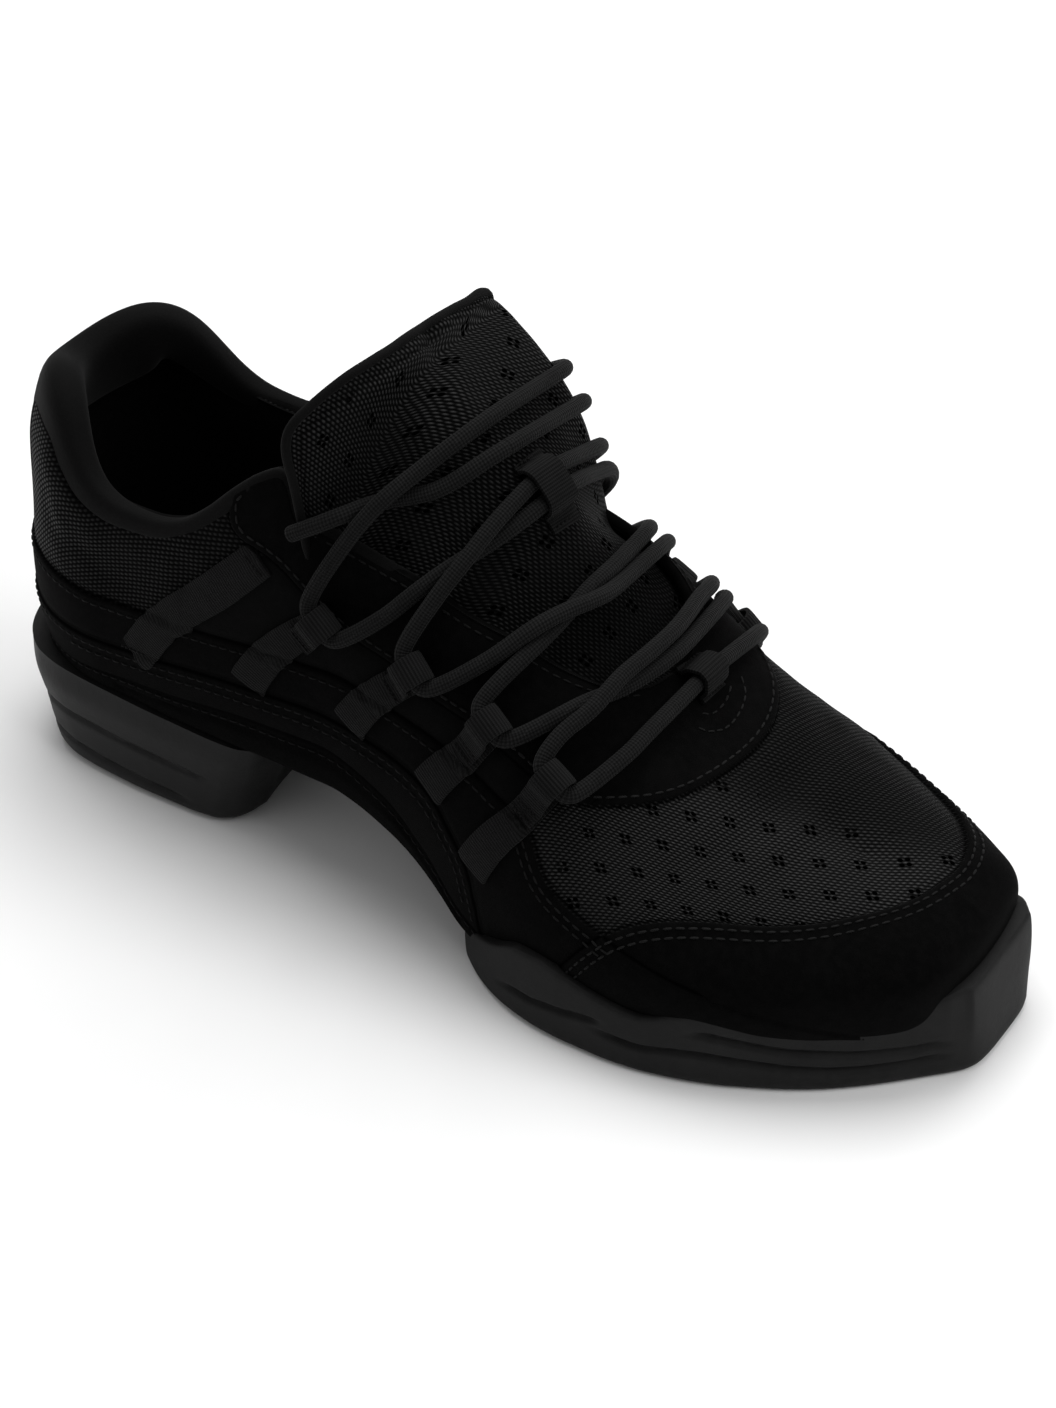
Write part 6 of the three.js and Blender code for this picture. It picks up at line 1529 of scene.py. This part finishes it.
def step_on(s, a, side, direction, dist_):
    e = 1e-3
    ps = (form(s + e, a, side) - form(s - e, a, side)) / (2 * e)
    pa = (form(s, a + e, side) - form(s, a - e, side)) / (2 * e)
    A, B, C = ps @ ps, ps @ pa, pa @ pa
    u, v = direction @ ps * dist_, direction @ pa * dist_
    d = A * C - B * B
    return s + (u * C - v * B) / d, a + (v * A - u * B) / d


LIFT, L_T = 1.0, 1.25
EYE_R = 4.2 / 2 + 0.9
SEAMS = []      # rows of stitches: path, normals, pitch, dash, radius, material
for side in (-1, 1):
    for i, row in enumerate(LOOPS):
        x0, x1, z0l, z1l, z0m, z1m = row
        bX, ba = at_height(x0, z0l if side < 0 else z0m, side)
        tX, ta = at_height(x1, z1l if side < 0 else z1m, side)
        s0, s1 = float(share_inv(bX / LAST)), float(share_inv(tX / LAST))
        P_0, P_1 = form(s0, ba, side), form(s1, ta, side)
        L = float(np.linalg.norm(P_1 - P_0))
        _, _, n_top = tangents(s1, ta, side)
        d = P_1 - P_0
        d = unit(d - n_top * (d @ n_top))
        w = unit(np.cross(n_top, d))
        if w[0] < 0:
            w = -w
        R = EYE_R + L_T / 2 + 0.1
        path, ww = [], []
        m_low = 26
        for k in range(m_low):
            u = (L - 2.0) * k / (m_low - 1)
            s, a = s0 + (s1 - s0) * u / L, ba + (ta - ba) * u / L
            q, n = surf([form(s, a, side)])
            path.append(q[0] + n[0] * (L_T / 2 + 0.05 + 0.15 * smooth(L - 12, L - 2, u)))
        c = P_1 + d * 2.2 + n_top * (LIFT + EYE_R + 1.2)
        for th in np.linspace(-pi / 2 + 0.15, pi * 0.98, 24):
            path.append(c + d * (R * math.cos(th)) + n_top * (R * math.sin(th)))
        # back down on to the strap, where the end is sewn
        tail = [c - d * (R + 0.6) + n_top * (-0.6), c - d * (R + 1.9) - n_top * (R - L_T - 0.7)]
        path += tail
        q, n = surf([P_1 - d * 5.4])
        path.append(q[0] + n[0] * (L_T * 1.5 + 0.1))
        q, n = surf([P_1 - d * 8.6])
        path.append(q[0] + n[0] * (L_T * 1.5))
        P = catmull(np.array(path), 0.55)
        for _ in range(3):
            P[1:-1] = (P[:-2] + 2 * P[1:-1] + P[2:]) / 4
        dd = np.r_[0, np.cumsum(np.linalg.norm(np.diff(P, axis=0), axis=1))]
        width = np.interp(dd, [0, 6, L, dd[-1] - 7, dd[-1]], [9.4, 9.0, 7.0, 6.7, 6.8])

        def fit(Rg, path_, w_, n_, shape, L=L, dd=dd):
            for r in np.where((dd < L - 3) | (dd > dd[-1] - 4.5))[0]:
                f = smooth(L - 3, L - 8, dd[r]) if dd[r] < L else smooth(dd[-1] - 4.5, dd[-1] - 2.5, dd[r])
                mid_q, mid_n = surf([path_[r]])
                lift = (path_[r] - mid_q[0]) @ mid_n[0]
                for c_ in range(Rg.shape[1]):
                    q_, nn = surf([Rg[r, c_]])
                    want = q_[0] + nn[0] * (lift + shape[c_, 1] * L_T)
                    Rg[r, c_] = Rg[r, c_] * (1 - f) + want * f
            return Rg

        name = "%s_%d" % ("lateral" if side < 0 else "medial", i + 1)
        ob = ribbon("web_" + name, P, np.repeat(w[None], len(P), 0), width, L_T, MAT["webbing"], fit=fit)
        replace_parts(ob, "loop_" + name), ob
        # bar tack across the folded end
        for off in (-5.6, -7.6):
            a_, b_ = P_1 + d * off - w * 2.9, P_1 + d * off + w * 2.9
            q, n = surf(resample([a_, b_], 0.5))
            SEAMS.append((q + n * (L_T * 2.0 + 0.12), n, 1.0, 0.85, 0.22, "thread_dark"))

# quarter tapes behind the first loops
for side, pts_w in ((-1, [(47.4, -33.5, 44.6), (50.5, -33.6, 49.0), (55.0, -33.7, 55.5), (60.5, -33.6, 61.0), (70.5, -32.8, 70.4), (79.0, -31.9, 79.0), (84.4, -31.2, 84.6)]),):
    for mirror in (1, -1):
        line = on_form(pts_w if mirror > 0 else far(pts_w, 0.96), 0.7)[0]
        q, n = surf(line)
        for _ in range(5):
            n[1:-1] = unit(n[:-2] + 2 * n[1:-1] + n[2:])
            q[1:-1] = (q[:-2] + 2 * q[1:-1] + q[2:]) / 4
        t = unit(np.gradient(q, axis=0))
        w = unit(np.cross(n, t))

        def fit_w(Rg, path_, w_, n_, shape):
            for r in range(Rg.shape[0]):
                for c_ in range(Rg.shape[1]):
                    q_, nn = surf([Rg[r, c_]])
                    Rg[r, c_] = q_[0] + nn[0] * (0.5 + shape[c_, 1] * 1.0)
            return Rg

        ob = ribbon("tape_" + ("near" if mirror > 0 else "far"), q + n * 0.45, w, 9.6, 1.0, MAT["webbing"], cols=9, fit=fit_w)

# keepers: a tape over the lace, sewn down at both feet
for name, x0, y0, z0, nx, ny, nz, dx, dy, dz, half, long_ in (
    ("tongue_keeper", 137.5, 2.8, 103.2, 0.71, -0.21, 0.67, 0.02, 1.00, -0.08, 5.1, 8.0),
    ("vamp_keeper", 176.2, 7.3, 62.7, 0.65, 0.03, 0.76, 0.03, 1.00, -0.03, 2.9, 9.0),
):
    n = unit(np.array([nx, ny, nz]))
    d = np.array([dx, dy, dz])
    d = unit(d - n * (d @ n))
    w = np.cross(n, d)
    o = np.array([x0, y0, z0])
    bvh = TSURF if name[0] == "t" else SURF
    foot = 5.0 if name[0] == "t" else 2.2
    hi = 4.2 + 1.4 + 0.6
    prof = [(-half - foot, None), (-half - 1.6, None), (-half - 0.75, 1.9), (-half - 0.45, 3.8), (-half + 1.3, hi - 0.35), (-half * 0.4, hi + 0.05), (half * 0.4, hi + 0.05), (half - 1.3, hi - 0.35), (half + 0.45, 3.8), (half + 0.75, 1.9), (half + 1.6, None), (half + foot * (0.5 if name[0] == "t" else 1.0), None)]
    path = []
    for a, h in prof:
        if h is None:
            q, nn = snap(bvh, [o + w * a])
            nv = nn[0] if nn[0] @ n > 0 else -nn[0]
            path.append(q[0] + nv * 0.75)
        else:
            path.append(o + w * a + n * h)
    P = catmull(np.array(path), 0.45)
    ob = ribbon("web_" + name, P, np.repeat(d[None], len(P), 0), long_ + 0.2, 1.15, MAT["webbing"])
    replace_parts(ob, name), ob
    for a in (-half - foot * 0.72, half + foot * (0.4 if name[0] == "t" else 0.8)):
        q, nn = snap(bvh, resample([o + w * a - d * (long_ / 2 - 1), o + w * a + d * (long_ / 2 - 1)], 0.5))
        nn = nn * np.sign(nn @ n)[:, None]
        SEAMS.append((q + nn * 1.42, nn, 1.1, 0.9, 0.22, "thread_dark"))


# ------------------------------------------------------------------ stitches
def seam(key, shift, lo=0.0, hi=1.0, pitch=2.8, dash=2.0, radius=0.24, mat="thread", keep=None):
    line, n = LINES[key]
    s = int(lo * (len(line) - 1)), int(hi * (len(line) - 1)) + 1
    q, nn = on_surface(line[s[0]:s[1]], shift * INSIDE[key], n[s[0]:s[1]], lift=radius * 0.45)
    if keep is not None:
        m = keep(q)
        runs, cur = [], []
        for i, ok in enumerate(m):
            if ok:
                cur.append(i)
            elif cur:
                runs.append(cur)
                cur = []
        if cur:
            runs.append(cur)
        for r in runs:
            if len(r) > 3:
                SEAMS.append((q[r], nn[r], pitch, dash, radius, mat))
    else:
        SEAMS.append((q, nn, pitch, dash, radius, mat))


def inside_sign(key, point):
    """+1 when the n x t side of a line holds the point."""
    return at(point, key)


INSIDE = {"cap": inside_sign("cap", (245.0, -20.0, 30.0)), "fox": inside_sign("fox", (100.0, -34.0, 45.0)),
          "low": inside_sign("low", (60.0, -33.0, 38.0)), "eye": inside_sign("eye", (150.0, -28.0, 72.0))}
top_of = lambda q: q[:, 2] > 11.0
seam("cap", 1.5, keep=lambda q: q[:, 2] > 13)
seam("cap", 3.6, keep=lambda q: q[:, 2] > 13)
seam("eye", 1.7, keep=lambda q: q[:, 2] < 99)
seam("fox", 2.0, keep=lambda q: (q[:, 0] < 190), mat="thread_dark")
seam("fox", -0.0 + 3.9, keep=lambda q: (q[:, 0] > 158) & (q[:, 0] < 188), mat="thread_dark")
seam("low", 1.6, keep=lambda q: q[:, 2] > 14, mat="thread_dark")
seam("low", 4.2, keep=lambda q: (q[:, 2] > 18) & (q[:, 0] > 24), mat="thread_dark")
for pts_u in ([(182.0, -3.4, 58.0), (184.0, -1.9, 56.8), (186.0, 3.1, 55.4), (185.8, 9.7, 55.6), (184.0, 15.3, 56.9), (181.0, 18.0, 58.6)],
              [(180.6, 0.4, 59.0), (182.4, 3.0, 58.0), (182.6, 8.6, 58.0), (181.2, 13.6, 58.9)]):
    q, n = surf(catmull(pts_u, 0.6))
    for _ in range(3):
        n[1:-1] = unit(n[:-2] + n[1:-1] + n[2:])
    SEAMS.append((q + n * 0.12, n, 2.5, 1.8, 0.22, "thread"))
# one row inside the throat's edge, on both sides
for side in (-1, 1):
    line, nn = [], []
    for xx in np.linspace(100, 171, 90):
        X = float(xx)
        for _ in range(8):
            a = float(rim_angle(X, side))
            X += float(xx - form(float(share_inv(X / LAST)), a, side)[0]) * 0.8
        s = float(share_inv(X / LAST))
        p0_ = form(s, float(rim_angle(X, side)), side)
        _, pa, n_ = tangents(s, float(rim_angle(X, side)), side)
        line.append(p0_ - pa * 3.0)
    q, n = surf(resample(np.array(line), 0.8))
    for _ in range(4):
        q[1:-1] = (q[:-2] + 2 * q[1:-1] + q[2:]) / 4
        n[1:-1] = unit(n[:-2] + n[1:-1] + n[2:])
    SEAMS.append((q + n * 0.12, n, 2.8, 2.0, 0.22, "thread_dark"))
# quarter tapes' ends
for side in (-1, 1):
    f_ = 1.0 if side < 0 else -0.96
    for a_, b_ in (((43.6, -33.2, 46.6), (51.0, -33.7, 46.9)), ((80.4, -31.6, 84.4), (85.6, -31.0, 80.8))):
        q, n = surf(resample([(a_[0], a_[1] * f_, a_[2]), (b_[0], b_[1] * f_, b_[2])], 0.5))
        SEAMS.append((q + n * 1.15, n, 1.1, 0.9, 0.22, "thread_dark"))
# near the top of the midsole's wrap
for side, col in ((-1, 8), (1, None)):
    m = MID.shape[1]
    k = 4 if side < 0 else m - 6 - 5
    row = MID[10:-6, k]
    keep = row[:, 0] > 6
    row = row[keep]
    row = resample(row, 0.8)
    outw = np.column_stack([np.zeros(len(row)), np.full(len(row), float(side)), np.zeros(len(row))])
    t = unit(np.gradient(row, axis=0))
    outw = unit(outw - np.sum(outw * t, 1, keepdims=True) * t)
    SEAMS.append((row + outw * 0.16, outw, 2.8, 2.0, 0.22, "thread_dark"))


def capsule(sides=6):
    """Unit capsule along x from -0.5 to 0.5 with radius 1 across."""
    rows = [(-0.5, 0.45), (-0.36, 0.95), (0.0, 1.05), (0.36, 0.95), (0.5, 0.45)]
    v = [(x, r * math.cos(2 * pi * j / sides), r * math.sin(2 * pi * j / sides)) for x, r in rows for j in range(sides)]
    q = grid_quads(len(rows), sides, wrap=True)
    v += [(-0.53, 0, 0), (0.53, 0, 0)]
    t = [[(j + 1) % sides, j, len(v) - 2] for j in range(sides)] + [[(len(rows) - 1) * sides + j, (len(rows) - 1) * sides + (j + 1) % sides, len(v) - 1] for j in range(sides)]
    return np.array(v), q, np.array(t)


cap_v, cap_q, cap_t = capsule()
groups = {}
rng = np.random.default_rng(5)
for path, nrm, pitch, dash, radius, mat in SEAMS:
    d = np.r_[0, np.cumsum(np.linalg.norm(np.diff(path, axis=0), axis=1))]
    if d[-1] < pitch:
        continue
    n_st = int(d[-1] / pitch)
    for k in range(n_st):
        a = (k + 0.5) * d[-1] / n_st - dash / 2 + rng.normal(0, 0.03)
        p = np.array([[np.interp(v, d, path[:, c]) for c in range(3)] for v in (a, a + dash)])
        n = unit(np.array([np.interp(a + dash / 2, d, nrm[:, c]) for c in range(3)]))
        t = unit(p[1] - p[0])
        b = unit(np.cross(n, t))
        t = unit(t + b * rng.normal(0, 0.03))
        b, n = unit(np.cross(n, t)), unit(n - t * (n @ t))
        c = (p[0] + p[1]) / 2
        v = c + cap_v[:, :1] * t * np.linalg.norm(p[1] - p[0]) + cap_v[:, 1:2] * b * radius * 1.15 + cap_v[:, 2:] * n * radius
        v -= n * (np.abs(cap_v[:, :1]) ** 2) * radius * 1.5
        groups.setdefault(mat, []).append(v)
for mat, vs in groups.items():
    V = np.concatenate(vs)
    Q = np.concatenate([cap_q + i * len(cap_v) for i in range(len(vs))])
    T = np.concatenate([cap_t + i * len(cap_v) for i in range(len(vs))])
    me = bpy.data.meshes.new("stitches_" + mat)
    me.from_pydata(M(V).tolist(), [], Q.tolist() + T.tolist())
    me.polygons.foreach_set("use_smooth", [True] * len(me.polygons))
    me.materials.append(MAT[mat])
    ob = bpy.data.objects.new("stitches_" + mat, me)
    bpy.context.scene.collection.objects.link(ob)
    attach(ob, "root")
    print("stitches", mat, len(vs))

# ------------------------------------------------------------------ studio
me = bpy.data.meshes.new("floor")
F = 6.0
me.from_pydata([(-F, -F, -0.0002), (F, -F, -0.0002), (F, F, -0.0002), (-F, F, -0.0002)], [], [(0, 1, 2, 3)])
floor = bpy.data.objects.new("floor", me)
bpy.context.scene.collection.objects.link(floor)
N = Net("floor")
grain = N.noise(60.0, 3.0)
me.materials.append(N.finish(N.mix(grain, (0.86, 0.86, 0.86), (0.90, 0.90, 0.90)), 0.7, spec=0.05))
stage_things = [floor]


def lamp(name, az, el, dist_, size, power, color=(1, 1, 1)):
    d = bpy.data.lights.new(name, "AREA")
    d.shape, d.size, d.size_y = "RECTANGLE", size[0], size[1]
    d.energy, d.color = power, color
    o = bpy.data.objects.new(name, d)
    a, e = math.radians(az), math.radians(el)
    v = Vector((math.sin(a) * math.cos(e), -math.cos(a) * math.cos(e), math.sin(e)))
    o.location = v * dist_ + Vector((0, 0, 0.04))
    o.rotation_mode = "QUATERNION"
    o.rotation_quaternion = (-v).to_track_quat("-Z", "Y")
    bpy.context.scene.collection.objects.link(o)
    stage_things.append(o)
    return o


lamp("key", 98, 47, 1.6, (1.1, 0.9), 11.5)
lamp("fill", -35, 42, 1.7, (1.2, 1.0), 1.5)
lamp("top", 214, 72, 1.5, (1.2, 1.0), 18)
lamp("rim", 195, 38, 1.8, (1.3, 0.9), 5)
world = bpy.data.worlds.new("studio")
world.use_nodes = True
world.node_tree.nodes["Background"].inputs[0].default_value = (1, 1, 1, 1)
world.node_tree.nodes["Background"].inputs[1].default_value = 0.27
bpy.context.scene.world = world
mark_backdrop(*stage_things)

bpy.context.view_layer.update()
total = 0
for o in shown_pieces():
    if o.type == "MESH":
        o.data.calc_loop_triangles()
        total += len(o.data.loop_triangles)
        print(o.name, len(o.data.loop_triangles))
print("triangles", total)
